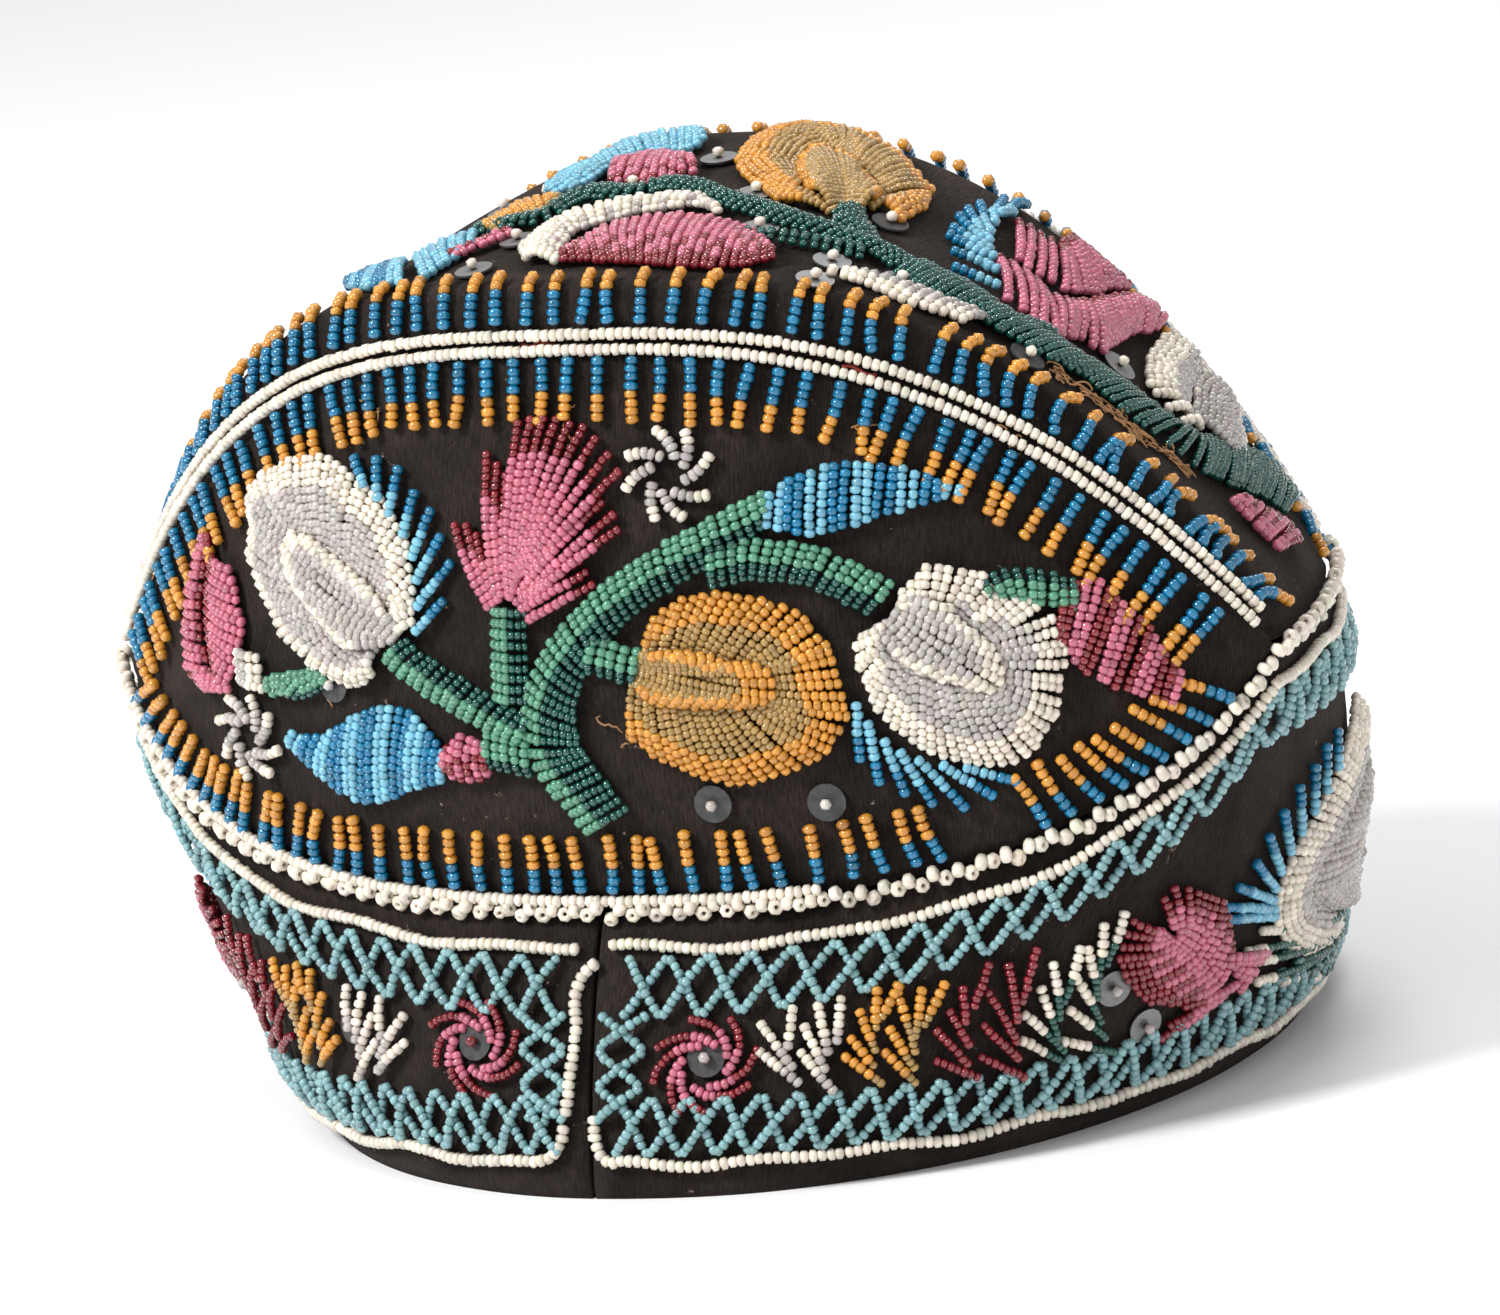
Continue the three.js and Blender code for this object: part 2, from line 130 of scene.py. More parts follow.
sky = bpy.data.worlds.new("studio")
sky.use_nodes = True
sky.node_tree.nodes["Background"].inputs["Color"].default_value = (1, 1, 1, 1)
sky.node_tree.nodes["Background"].inputs["Strength"].default_value = SKY_STRENGTH
bpy.context.scene.world = sky
bpy.context.scene.view_settings.view_transform = "Standard"

# Side band. A strip of dark cotton velvet on stiffening, wrapped round the head opening with its
# two ends meeting at the middle of the front. Its upper edge is sewn to the panels at the crown
# seam, which sweeps down in front and is widest at the two front corners.
RIM_HALF_WIDTH = 82.5
RIM_HALF_DEPTH = 89.5
CORNER_X, CORNER_Y = 104, -33.5
FRONT_REACH, BACK_REACH = 74, 78
REAR_CORNER_Y = 14
FRONT_HEIGHT, CORNER_HEIGHT, REAR_CORNER_HEIGHT, BACK_HEIGHT = 43.5, 75.5, 76.5, 52
FRONT_SWEEP = 2.9
BAND_SWELL, SIDE_SWELL = 2, 3.5
SIDE_SWELL_FROM, SIDE_SWELL_OVER = 0.87, 0.55
BAND_TOP = 0.985
CORE_TOP, CORE_STRETCH, CORE_LEAN = 0.8, 0.4, 0.6
WALL = 2
LEAST_FACING = 0.6
BAND_SLIT = 0.8
SEAM_DIP = 0.9
SEAM_DIP_WIDTH = 1.6
CLOTH_WAVE = 0.16
VELVET_DARK = (0.009, 0.006, 0.005)
VELVET_WORN = (0.03, 0.021, 0.017)
VELVET_LINT = (0.22, 0.17, 0.13)
CORNER_ANGLE = np.arccos(-CORNER_Y / FRONT_REACH)
BACK_DEPTH = BACK_REACH - CORNER_Y
REAR_SHARE = np.arcsin((REAR_CORNER_Y - CORNER_Y) / BACK_DEPTH) / (np.pi / 2)
REAR_CORNER_ANGLE = CORNER_ANGLE + REAR_SHARE * (np.pi - CORNER_ANGLE)


def lerp(a, b, share):
    """The value that lies a share of the way from a to b."""
    return a + (b - a) * share


def smooth(share):
    """0 to 1 with level ends: 3 times the square less 2 times the cube."""
    share = np.clip(share, 0, 1)
    return share * share * (3 - 2 * share)


def points_of(x, y, z):
    """Three arrays of coordinates as one array of points."""
    return np.stack(np.broadcast_arrays(x, y, z), axis=-1).astype(float)


def unit(vectors):
    """Vectors scaled to length one."""
    return vectors / np.maximum(np.linalg.norm(vectors, axis=-1, keepdims=True), 1e-9)


def crown_seam(angle):
    """A wide half ellipse in front of the corners and a narrower one behind them. Its height rises
    from the front with a power of the angle, is level past the corners and falls to the back."""
    turn = np.abs(angle)
    side = np.where(angle < 0, -1, 1)
    in_front = turn <= CORNER_ANGLE
    behind = np.clip((turn - CORNER_ANGLE) / (np.pi - CORNER_ANGLE), 0, 1) * np.pi / 2
    x = np.where(in_front, CORNER_X / np.sin(CORNER_ANGLE) * np.sin(turn), CORNER_X * np.cos(behind)) * side
    y = np.where(in_front, -FRONT_REACH * np.cos(turn), CORNER_Y + BACK_DEPTH * np.sin(behind))
    rise = lerp(FRONT_HEIGHT, CORNER_HEIGHT, np.clip(turn / CORNER_ANGLE, 0, 1) ** FRONT_SWEEP)
    level = np.clip((turn - CORNER_ANGLE) / (REAR_CORNER_ANGLE - CORNER_ANGLE), 0, 1)
    fall = smooth((turn - REAR_CORNER_ANGLE) / (np.pi - REAR_CORNER_ANGLE))
    beyond = lerp(lerp(CORNER_HEIGHT, REAR_CORNER_HEIGHT, level), BACK_HEIGHT, fall)
    return points_of(x, y, np.where(in_front, rise, beyond))


def outward_from(points):
    """The direction away from a line inside the cap that leans forward as it rises. High on the cap
    it points upwards too, because the line's own points lie lower there than the cloth's."""
    height = points[..., 2]
    top = CORE_TOP * CORNER_HEIGHT
    core = np.where(height < top, height, lerp(top, height, CORE_STRETCH))
    lean = np.clip(height / top, 0, 1)
    return unit(points - points_of(0, CORE_LEAN * CORNER_Y * lean, core))


def run_along(path):
    """How far along a path each of its points lies: the lengths of its steps added up."""
    steps = np.linalg.norm(np.diff(path, axis=0), axis=-1)
    return np.concatenate((np.zeros((1, *steps.shape[1:])), steps.cumsum(axis=0)))


def band_face(angle, share):
    """Straight from the rim's ellipse to the crown seam, swollen by a sine at mid height, more at
    the sides than in front."""
    angle = (angle + np.pi) % (2 * np.pi) - np.pi
    share = np.asarray(share, float)[..., None]
    rim = points_of(RIM_HALF_WIDTH * np.sin(angle), -RIM_HALF_DEPTH * np.cos(angle), 0)
    past = np.abs(angle) - SIDE_SWELL_FROM * CORNER_ANGLE
    sides = smooth(past / (SIDE_SWELL_OVER * CORNER_ANGLE))[..., None]
    flat = lerp(rim, crown_seam(angle), share)
    return flat + outward_from(flat) * (BAND_SWELL + SIDE_SWELL * sides) * np.sin(np.pi * share)


def normal_on(face, u, v):
    """The outward normal: the cross product of two short steps over the face."""
    step = 0.004
    across = face(u + step, v) - face(u - step, v)
    along = face(u, np.clip(v + step, 0, 1)) - face(u, np.clip(v - step, 0, 1))
    normal = unit(np.cross(across, along))
    facing = np.sum(normal * outward_from(face(u, v)), axis=-1, keepdims=True)
    return np.where(facing < 0, -normal, normal)


def cloth_relief(points, from_edge):
    """How far the cloth stands off its face: soft waves of crossed sines, and a dip at the seams."""
    x, y, z = np.moveaxis(points, -1, 0)
    waves = np.sin(x / 5.3 + 2 * np.sin(z / 9)) * np.sin(z / 4.7 + y / 11) + np.sin(y / 6.1 + x / 13)
    return CLOTH_WAVE * (0.5 * waves - 1) - SEAM_DIP * np.exp(-((from_edge / SEAM_DIP_WIDTH) ** 2))


def cloth_panel(name, face, columns, rows, node):
    """A wall of cloth: an outer grid of points on the face, an inner one a wall deeper, and strips
    that join their borders. Its map holds millimetres across and up the cloth."""
    u, v = np.meshgrid(columns, rows, indexing="ij")
    bare = face(u, v)
    run_up = run_along(np.swapaxes(bare, 0, 1)).T
    from_edge = np.minimum(run_up, run_up[:, -1:] - run_up)
    outward = outward_from(bare)
    outer = bare + outward * cloth_relief(bare, from_edge)[..., None]
    square = np.maximum(np.sum(outward * normal_on(face, u, v), axis=-1), LEAST_FACING)[..., None]
    inner = outer - outward * WALL / square
    points = np.concatenate((outer.reshape(-1, 3), inner.reshape(-1, 3)))
    layer = np.arange(u.size).reshape(u.shape)
    deep = layer + u.size
    border = np.concatenate((layer[:-1, 0], layer[-1, :-1], layer[:0:-1, -1], layer[0, :0:-1]))
    ahead = np.roll(border, -1)
    quads = np.concatenate((
        np.stack((layer[:-1, :-1], layer[1:, :-1], layer[1:, 1:], layer[:-1, 1:]), -1).reshape(-1, 4),
        np.stack((deep[:-1, :-1], deep[:-1, 1:], deep[1:, 1:], deep[1:, :-1]), -1).reshape(-1, 4),
        np.stack((ahead, border, border + u.size, ahead + u.size), -1),
    ))
    a, b, c, d = (points[quads[:, k]] for k in range(4))
    if np.sum(a * np.cross(b, c) + a * np.cross(c, d)) < 0:
        quads = quads[:, ::-1]
    mesh = bpy.data.meshes.new(name)
    mesh.from_pydata((points * MM).tolist(), [], quads.tolist())
    across = np.broadcast_to(run_along(bare).mean(axis=1)[:, None], u.shape)
    flat = np.tile(np.stack((across, run_up), -1).reshape(-1, 2), (2, 1))
    mesh.uv_layers.new(name="cloth").data.foreach_set("uv", flat[quads.ravel()].ravel())
    mesh.shade_smooth()
    panel = new_object(name, mesh, [velvet])
    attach(panel, "root")
    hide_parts(node)


def wire(material, output, target):
    """Joins an output socket to an input socket."""
    material.node_tree.links.new(output, target)


def noise(material, vector, scale, detail=3, roughness=0.6):
    """A cloud pattern of the given scale, 0 to 1."""
    node = material.node_tree.nodes.new("ShaderNodeTexNoise")
    node.inputs["Scale"].default_value = scale
    node.inputs["Detail"].default_value = detail
    node.inputs["Roughness"].default_value = roughness
    wire(material, vector, node.inputs["Vector"])
    return node.outputs["Fac"]


def ramp(material, factor, *stops):
    """Colours between the given stops: pairs of place and colour."""
    node = material.node_tree.nodes.new("ShaderNodeValToRGB")
    elements = node.color_ramp.elements
    while len(elements) < len(stops):
        elements.new(0.5)
    for element, (position, colour) in zip(elements, stops):
        element.position = position
        element.color = (*colour, 1)
    wire(material, factor, node.inputs["Fac"])
    return node.outputs["Color"]


def mixed(material, factor, first, second, blend="MIX"):
    """Two colours blended by a factor. Each of the three is a socket or a plain value."""
    node = material.node_tree.nodes.new("ShaderNodeMix")
    node.data_type = "RGBA"
    node.blend_type = blend
    for name, kind, value in (("Factor", "VALUE", factor), ("A", "RGBA", first), ("B", "RGBA", second)):
        socket = next(s for s in node.inputs if s.name == name and s.type == kind)
        if isinstance(value, bpy.types.NodeSocket):
            wire(material, value, socket)
        else:
            socket.default_value = (*value, 1) if kind == "RGBA" else value
    return next(s for s in node.outputs if s.type == "RGBA")


def bump(material, shader, height, distance, strength=1.0):
    """Fine relief on the shader, from a height pattern."""
    node = material.node_tree.nodes.new("ShaderNodeBump")
    node.inputs["Distance"].default_value = distance
    node.inputs["Strength"].default_value = strength
    wire(material, height, node.inputs["Height"])
    wire(material, node.outputs["Normal"], shader.inputs["Normal"])


def scaled(material, vector, scale):
    """A vector with each axis scaled, which stretches the pattern that reads it."""
    node = material.node_tree.nodes.new("ShaderNodeMapping")
    node.inputs["Scale"].default_value = scale
    wire(material, vector, node.inputs["Vector"])
    return node.outputs["Vector"]


def velvet_cloth():
    """Short matted pile over fine ribs that run up the cloth, worn in patches, with specks of lint."""
    material, shader = new_material("velvet", 0.92)
    shader.inputs["Sheen Weight"].default_value = 0.07
    shader.inputs["Sheen Roughness"].default_value = 0.45
    shader.inputs["Sheen Tint"].default_value = (0.55, 0.45, 0.38, 1)
    shader.inputs["Specular IOR Level"].default_value = 0.2
    coords = material.node_tree.nodes.new("ShaderNodeTexCoord").outputs
    cloth = material.node_tree.nodes.new("ShaderNodeUVMap")
    cloth.uv_map = "cloth"
    ribs = noise(material, scaled(material, cloth.outputs["UV"], (2.6, 0.35, 1)), 1.0, 2, 0.7)
    pile = noise(material, coords["Object"], 1500, 2, 0.8)
    worn = noise(material, coords["Object"], 60, 4, 0.7)
    patches = ramp(material, worn, (0.35, VELVET_DARK), (0.72, VELVET_WORN))
    threads = ramp(material, ribs, (0.3, (0.35, 0.35, 0.35)), (0.75, (1.5, 1.5, 1.5)))
    shaded = mixed(material, 1, patches, threads, "MULTIPLY")
    specks = noise(material, coords["Object"], 420, 3, 0.75)
    lint = ramp(material, specks, (0.69, (0, 0, 0)), (0.75, (1, 1, 1)))
    wire(material, mixed(material, lint, shaded, VELVET_LINT), shader.inputs["Base Color"])
    height = material.node_tree.nodes.new("ShaderNodeMath")
    height.operation = "ADD"
    wire(material, ribs, height.inputs[0])
    wire(material, pile, height.inputs[1])
    bump(material, shader, height.outputs["Value"], 0.0004, 0.9)
    return material


velvet = velvet_cloth()
slit = BAND_SLIT / 2 / RIM_HALF_DEPTH
band_columns = np.linspace(slit, 2 * np.pi - slit, 181)
band_rows = np.linspace(0, BAND_TOP, 22)
cloth_panel("band_velvet", band_face, band_columns, band_rows, "side_band")

# Front panel. A lens of the same velvet, nearly upright between the crown seam and the front seam
# and bowed forward. It is what the cap turns to the viewer.
FRONT_SEAM_Y, FRONT_SEAM_HEIGHT, FRONT_SEAM_ROUND = -67, 134, 2.8
FRONT_SWELL = 5
PANEL_TIP = 0.994
PANEL_EDGE = 0.004


def arch(corner, middle_y, middle_height, fullness, side):
    """A seam over the cap: level width, a parabola in depth, and a power of the side in height."""
    y = lerp(corner[..., 1], middle_y, 1 - side * side)
    height = lerp(corner[..., 2], middle_height, 1 - np.abs(side) ** fullness)
    return points_of(corner[..., 0] * side, y, height)


def front_face(side, share):
    """Straight from the crown seam to the front seam, bowed forward by a sine."""
    low = crown_seam(np.arcsin(np.clip(side * np.sin(CORNER_ANGLE), -1, 1)))
    high = arch(crown_seam(CORNER_ANGLE), FRONT_SEAM_Y, FRONT_SEAM_HEIGHT, FRONT_SEAM_ROUND, side)
    points = lerp(low, high, np.asarray(share, float)[..., None])
    points[..., 1] -= FRONT_SWELL * np.sin(np.pi * share) * (1 - side * side)
    return points


panel_columns = np.linspace(-PANEL_TIP, PANEL_TIP, 101)
panel_rows = np.linspace(PANEL_EDGE, 1 - PANEL_EDGE, 33)
cloth_panel("front_velvet", front_face, panel_columns, panel_rows, "front_panel")

# Top panel. A dome of velvet whose front and rear rims bend down to the two seams over the cap.
REAR_SEAM_Y, REAR_SEAM_HEIGHT, REAR_SEAM_ROUND = 18, 142, 2.8
RIM_RISE = 9.5
TOP_TIP = 0.997
TOP_ROW_REACH = 0.497
TOP_SECTIONS = np.array((
    # share of the way over, place of the ends, way between the seams, rise, fullness of the arch
    (0.00, 0.00, 0.000, 0.00, 2.80),
    (0.06, 0.08, 0.008, 0.45, 2.95),
    (0.11, 0.16, 0.030, 0.86, 3.10),
    (0.17, 0.24, 0.080, 0.92, 3.05),
    (0.28, 0.34, 0.200, 1.00, 2.90),
    (0.50, 0.52, 0.480, 1.18, 2.55),
    (0.72, 0.70, 0.760, 1.22, 2.42),
    (0.83, 0.79, 0.890, 1.20, 2.40),
    (0.89, 0.86, 0.955, 0.90, 2.45),
    (0.94, 0.93, 0.985, 0.50, 2.60),
    (1.00, 1.00, 1.000, 0.00, 2.80),
))


def top_face(side, share):
    """Arches from corner to corner whose ends, place and height run through the sections."""
    at, *columns = TOP_SECTIONS.T
    ends, way, rise, fullness = (np.interp(share, at, column) for column in columns)
    corner = crown_seam(lerp(CORNER_ANGLE, REAR_CORNER_ANGLE, ends))
    height = lerp(FRONT_SEAM_HEIGHT, REAR_SEAM_HEIGHT, way) + RIM_RISE * rise
    return arch(corner, lerp(FRONT_SEAM_Y, REAR_SEAM_Y, way), height, fullness, side)


top_columns = np.linspace(-TOP_TIP, TOP_TIP, 101)
top_rows = 0.5 - TOP_ROW_REACH * np.cos(np.linspace(0, np.pi, 49))
cloth_panel("top_velvet", top_face, top_columns, top_rows, "top_panel")

# Back panel. A plain slope of velvet from the rear seam down to the band, bowed outward.
BACK_SWELL = 9
SWELL_BACK, SWELL_UP = 0.75, 0.65


def back_face(side, share):
    """Straight from the crown seam behind to the rear seam, bowed back and up by a sine."""
    rear_corner = crown_seam(REAR_CORNER_ANGLE)
    behind = np.arccos(np.clip(np.abs(rear_corner[0] * side) / CORNER_X, 0, 1)) / (np.pi / 2)
    low = crown_seam(lerp(CORNER_ANGLE, np.pi, behind) * np.where(side < 0, -1, 1))
    high = arch(rear_corner, REAR_SEAM_Y, REAR_SEAM_HEIGHT, REAR_SEAM_ROUND, side)
    points = lerp(low, high, np.asarray(share, float)[..., None])
    swell = BACK_SWELL * np.sin(np.pi * share) * (1 - side * side)
    points[..., 1] += SWELL_BACK * swell
    points[..., 2] += SWELL_UP * swell
    return points


back_columns, back_rows = panel_columns[::2], panel_rows[::2]
cloth_panel("back_velvet", back_face, back_columns, back_rows, "back_panel")

# White lines. Ivory seed beads threaded close and laid along the seams: one line on each side of
# the front and rear seams, one over the crown seam in front, two round the band, and one up the
# band's front seam. A seed bead is a short drawn tube of glass with its edges melted round.
SEED_BEAD = 2.1
SEED_LENGTH = 1.42
LINE_END = 0.97
LINE_INSET = 1.0
SEAM_GAP = 0.3
TOP_LINE_SHARE = 0.016
LOW_LINE_END = 0.36
LOW_LINE_INSET = 1.9
LOW_LINE_LIFT = 0.2
BAND_REACH = 92
ROUND = BAND_REACH * 2 * np.pi
BAND_LINE_INSET = 6.2
UPPER_LINE_START = 2.2
LOWER_LINE_TURN = np.array((
    # millimetres round the band and up from the rim, where the line leaves the front seam
    (1.3, 14),
    (1.4, 10),
    (2.2, 7.6),
    (4.2, BAND_LINE_INSET),
))
LOWER_LINE_RETURN = np.array((
    # the same, where it comes back to the seam from the other side
    (ROUND - 9.5, BAND_LINE_INSET),
    (ROUND - 6.6, 7.1),
    (ROUND - 4.6, 9.4),
    (ROUND - 3.8, 12.4),
))
SEAM_LINE = np.array((
    # the same, up the left side of the front seam
    (-3.6, 13.8),
    (-3, 18),
    (-2.2, 24),
    (-1.8, 29),
    (-2.4, 32),
    (-1.4, 36),
    (0.6, 38),
))
BEAD_SEAT = 0.15
# how far one bead differs from the next
GIRTH_SPREAD, LENGTH_SPREAD = 0.045, 0.04
PLACE_SPREAD, TILT_SPREAD = 0.05, 0.07
LIGHT_SPREAD, TINT_SPREAD = 0.1, 0.018
BEAD_SNUG = 1.02
LAST_BEAD = 0.4
BEAD_PROFILE = np.array(((-0.5, 0.5), (-0.27, 0.97), (0.27, 0.97), (0.5, 0.5)))
BEAD_SIDES = 6
GLASS = {
    # colour as it shows, 0 to 255, whether the glass is clear, and the beads' share of the full size
    "ivory": ((224, 215, 200), False, 1),
    "opal": ((206, 198, 193), True, 1),
    "blue": ((10, 110, 150), False, 1),
    "pale_blue": ((112, 176, 200), False, 1),
    "amber": ((202, 138, 46), False, 1),
    "clear_gold": ((188, 150, 84), True, 0.82),
    "pink": ((186, 98, 120), False, 1),
    "dark_red": ((142, 32, 44), True, 0.88),
    "green": ((82, 142, 114), False, 1),
    "dark_teal": ((20, 90, 80), True, 0.8),
    "teal": ((124, 164, 168), False, 1),
}
GLASS_NAMES = list(GLASS)
IVORY = [("ivory", None)]
dice = np.random.default_rng(7)


def as_light(colour):
    """A screen colour as the amount of light that the shader wants."""
    share = np.array(colour) / 255
    return np.where(share <= 0.04045, share / 12.92, ((share + 0.055) / 1.055) ** 2.4)


def bead_glass(name, clear):
    """Glass that takes each bead's own colour, glossy, and milky or partly clear."""
    material, shader = new_material(name, 0.1 if clear else 0.22)
    paint = material.node_tree.nodes.new("ShaderNodeAttribute")
    paint.attribute_name = "bead_colour"
    coords = material.node_tree.nodes.new("ShaderNodeTexCoord").outputs
    grime = noise(material, coords["Object"], 700, 2)
    shade = ramp(material, grime, (0.3, (0.7, 0.66, 0.6)), (0.55, (1, 1, 1)))
    dirty = mixed(material, 0.5, paint.outputs["Color"], shade, "MULTIPLY")
    wire(material, dirty, shader.inputs["Base Color"])
    shader.inputs["Coat Weight"].default_value = 0.7
    shader.inputs["Coat Roughness"].default_value = 0.05
    if clear:
        shader.inputs["Transmission Weight"].default_value = 0.3
    else:
        shader.inputs["Subsurface Weight"].default_value = 0.12
        shader.inputs["Subsurface Radius"].default_value = (1, 0.8, 0.6)
        shader.inputs["Subsurface Scale"].default_value = 0.0008
    return material


bead_materials = [bead_glass("bead_glass", False), bead_glass("clear_bead_glass", True)]


def thread_beads(path, runs, diameter=SEED_BEAD, length=SEED_LENGTH):
    """Beads in a row along a path. runs pairs a glass with its count, and the pair with no count
    takes the rest. Each row of the result is one bead: its middle, the direction of its hole, its
    radius, its length and the number of its glass."""
    run = run_along(path)
    taken = sum(number * length * GLASS[name][2] for name, number in runs if number)
    names = []
    for name, number in runs:
        if not number:
            number = max(int(round((run[-1] - taken) / (length * GLASS[name][2]))), 0)
        names += [name] * number
    names = names or [runs[-1][0]]
    lengths = length * np.array([GLASS[name][2] for name in names])
    kept = 1 + int(np.searchsorted(lengths.cumsum(), run[-1] - LAST_BEAD * length))
    names, lengths = names[:kept], lengths[:kept]
    lengths = lengths * run[-1] / lengths.sum()
    edges = np.concatenate(((0,), lengths.cumsum()))
    ends = np.stack([np.interp(edges, run, path[:, k]) for k in range(3)], axis=1)
    kinds = np.array([GLASS_NAMES.index(name) for name in names], float)
    shares = np.array([GLASS[name][2] for name in names])
    radius = diameter / 2 * shares * dice.normal(1, GIRTH_SPREAD, len(names))
    middles = (ends[1:] + ends[:-1]) / 2 + dice.normal(0, PLACE_SPREAD, (len(names), 3))
    holes = unit(unit(ends[1:] - ends[:-1]) + dice.normal(0, TILT_SPREAD, (len(names), 3)))
    lengths = lengths * dice.normal(BEAD_SNUG, LENGTH_SPREAD, len(names))
    return np.column_stack((middles, holes, radius, lengths, kinds))


def bead_piece(name, rows, nodes=(), profile=BEAD_PROFILE, closed=False, sides=BEAD_SIDES):
    """One mesh of many beads: a bead's profile, which gives shares of its length and of its radius,
    is carried round its hole, for all at once. An open profile is capped, a closed one has a hole."""
    beads = np.concatenate(rows)
    middle, hole = beads[:, :3], beads[:, 3:6]
    radius, length, kind = beads[:, 6], beads[:, 7], beads[:, 8].astype(int)
    other = np.where(np.abs(hole[:, 2:3]) < 0.9, (0.0, 0.0, 1.0), (1.0, 0.0, 0.0))
    side = unit(np.cross(hole, other))
    up = np.cross(hole, side)
    turn = np.arange(sides) * 2 * np.pi / sides
    around = side[:, None] * np.cos(turn)[:, None] + up[:, None] * np.sin(turn)[:, None]
    along = profile[:, 0][None, :, None, None] * (length[:, None] * hole)[:, None, None]
    across = profile[:, 1][None, :, None, None] * (radius[:, None, None] * around)[:, None]
    points = middle[:, None, None] + along + across
    per_bead = len(profile) * sides
    ring = np.arange(per_bead).reshape(len(profile), sides)
    ahead = np.roll(ring, -1, axis=1)
    following = np.roll(ring, -1, axis=0)
    following_ahead = np.roll(ahead, -1, axis=0)
    quads = np.stack((ring, ahead, following_ahead, following), -1)
    quads = quads[:len(profile) if closed else -1].reshape(-1, 4)
    starts = (np.arange(len(beads)) * per_bead)[:, None, None]
    loops = [(quads[None] + starts).reshape(len(beads), -1)]
    sizes = [np.full(len(quads), 4)]
    if not closed:
        loops.append((np.stack((ring[0, ::-1], ring[-1]))[None] + starts).reshape(len(beads), -1))
        sizes.append(np.full(2, sides))
    corners = np.concatenate(loops, axis=1).ravel()
    sizes = np.tile(np.concatenate(sizes), len(beads))
    mesh = bpy.data.meshes.new(name)
    mesh.vertices.add(len(beads) * per_bead)
    mesh.vertices.foreach_set("co", (points * MM).ravel())
    mesh.loops.add(len(corners))
    mesh.loops.foreach_set("vertex_index", corners)
    mesh.polygons.add(len(sizes))
    mesh.polygons.foreach_set("loop_start", np.concatenate(((0,), sizes.cumsum()[:-1])))
    mesh.polygons.foreach_set("loop_total", sizes)
    clear = np.array([GLASS[name][1] for name in GLASS_NAMES])[kind]
    mesh.polygons.foreach_set("material_index", np.repeat(clear, len(sizes) // len(beads)).astype(int))
    mesh.update(calc_edges=True)
    mesh.shade_smooth()
    shades = np.array([as_light(GLASS[name][0]) for name in GLASS_NAMES])[kind]
    light = dice.normal(1, LIGHT_SPREAD, (len(beads), 1))
    tint = dice.normal(1, TINT_SPREAD, (len(beads), 3))
    shades = np.clip(shades * light * tint, 0, 1)
    paint = np.repeat(np.column_stack((shades, np.ones(len(beads)))), per_bead, axis=0)
    painted = mesh.color_attributes.new("bead_colour", "FLOAT_COLOR", "POINT")
    painted.data.foreach_set("color", paint.ravel())
    piece = new_object(name, mesh, bead_materials)
    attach(piece, "root")
    if nodes:
        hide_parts(*nodes)


def raised(face, u, v, lift):
    """Points that stand off a face by a lift."""
    return face(u, v) + normal_on(face, u, v) * np.broadcast_to(lift, np.shape(u))[..., None]


def face_height(face, across):
    """The straight way from a face's lower edge to its upper edge."""
    foot, head = face(across, np.zeros_like(across)), face(across, np.ones_like(across))
    return np.linalg.norm(head - foot, axis=-1)


bead_lift = SEED_BEAD / 2 + BEAD_SEAT
line_side = np.linspace(-LINE_END, LINE_END, 200)
for name, face, shares in (
    # node, face, share of the way over the face
    ("front_panel_line", front_face, 1 - (LINE_INSET + SEAM_GAP) / face_height(front_face, line_side)),
    ("back_panel_line", back_face, 1 - (LINE_INSET + SEAM_GAP) / face_height(back_face, line_side)),
    ("top_panel_front_line", top_face, 0 * line_side + TOP_LINE_SHARE),
    ("top_panel_rear_line", top_face, 0 * line_side + 1 - TOP_LINE_SHARE),
):
    line = thread_beads(raised(face, line_side, shares, bead_lift), IVORY)
    bead_piece(name + "_beads", [line], [name])

low_side = np.linspace(-LINE_END, LOW_LINE_END, 140)
low_share = LOW_LINE_INSET / face_height(front_face, low_side)
low_line = raised(front_face, low_side, low_share, bead_lift + LOW_LINE_LIFT)
bead_piece("front_lower_line_beads", [thread_beads(low_line, IVORY)])


def on_band(x, y, lift):
    """Points over the band: millimetres round it from the front seam and up from the rim."""
    angle = x / BAND_REACH
    return raised(band_face, angle, np.clip(y / face_height(band_face, angle), 0, 1), lift)


def scallop(x):
    """The small waves of a line that was sewn by hand: two sines of different lengths."""
    return 0.4 * np.sin(x / 3.7) + 0.3 * np.sin(x / 6.1 + 1)


upper_x = np.linspace(UPPER_LINE_START, ROUND - UPPER_LINE_START, 900)
upper_y = face_height(band_face, upper_x / BAND_REACH) - BAND_LINE_INSET + scallop(upper_x)
upper_line = thread_beads(on_band(upper_x, upper_y, bead_lift), IVORY)
bead_piece("band_upper_line_beads", [upper_line], ["band_upper_line"])
lower_x = np.linspace(6, ROUND - 12, 800)
lower_run = np.column_stack((lower_x, BAND_LINE_INSET + scallop(lower_x)))
lower_places = np.concatenate((LOWER_LINE_TURN, lower_run, LOWER_LINE_RETURN))
lower_line = thread_beads(on_band(*lower_places.T, bead_lift), IVORY)
bead_piece("band_lower_line_beads", [lower_line], ["band_lower_line"])
bead_piece("seam_line_beads", [thread_beads(on_band(*SEAM_LINE.T, bead_lift), IVORY)])

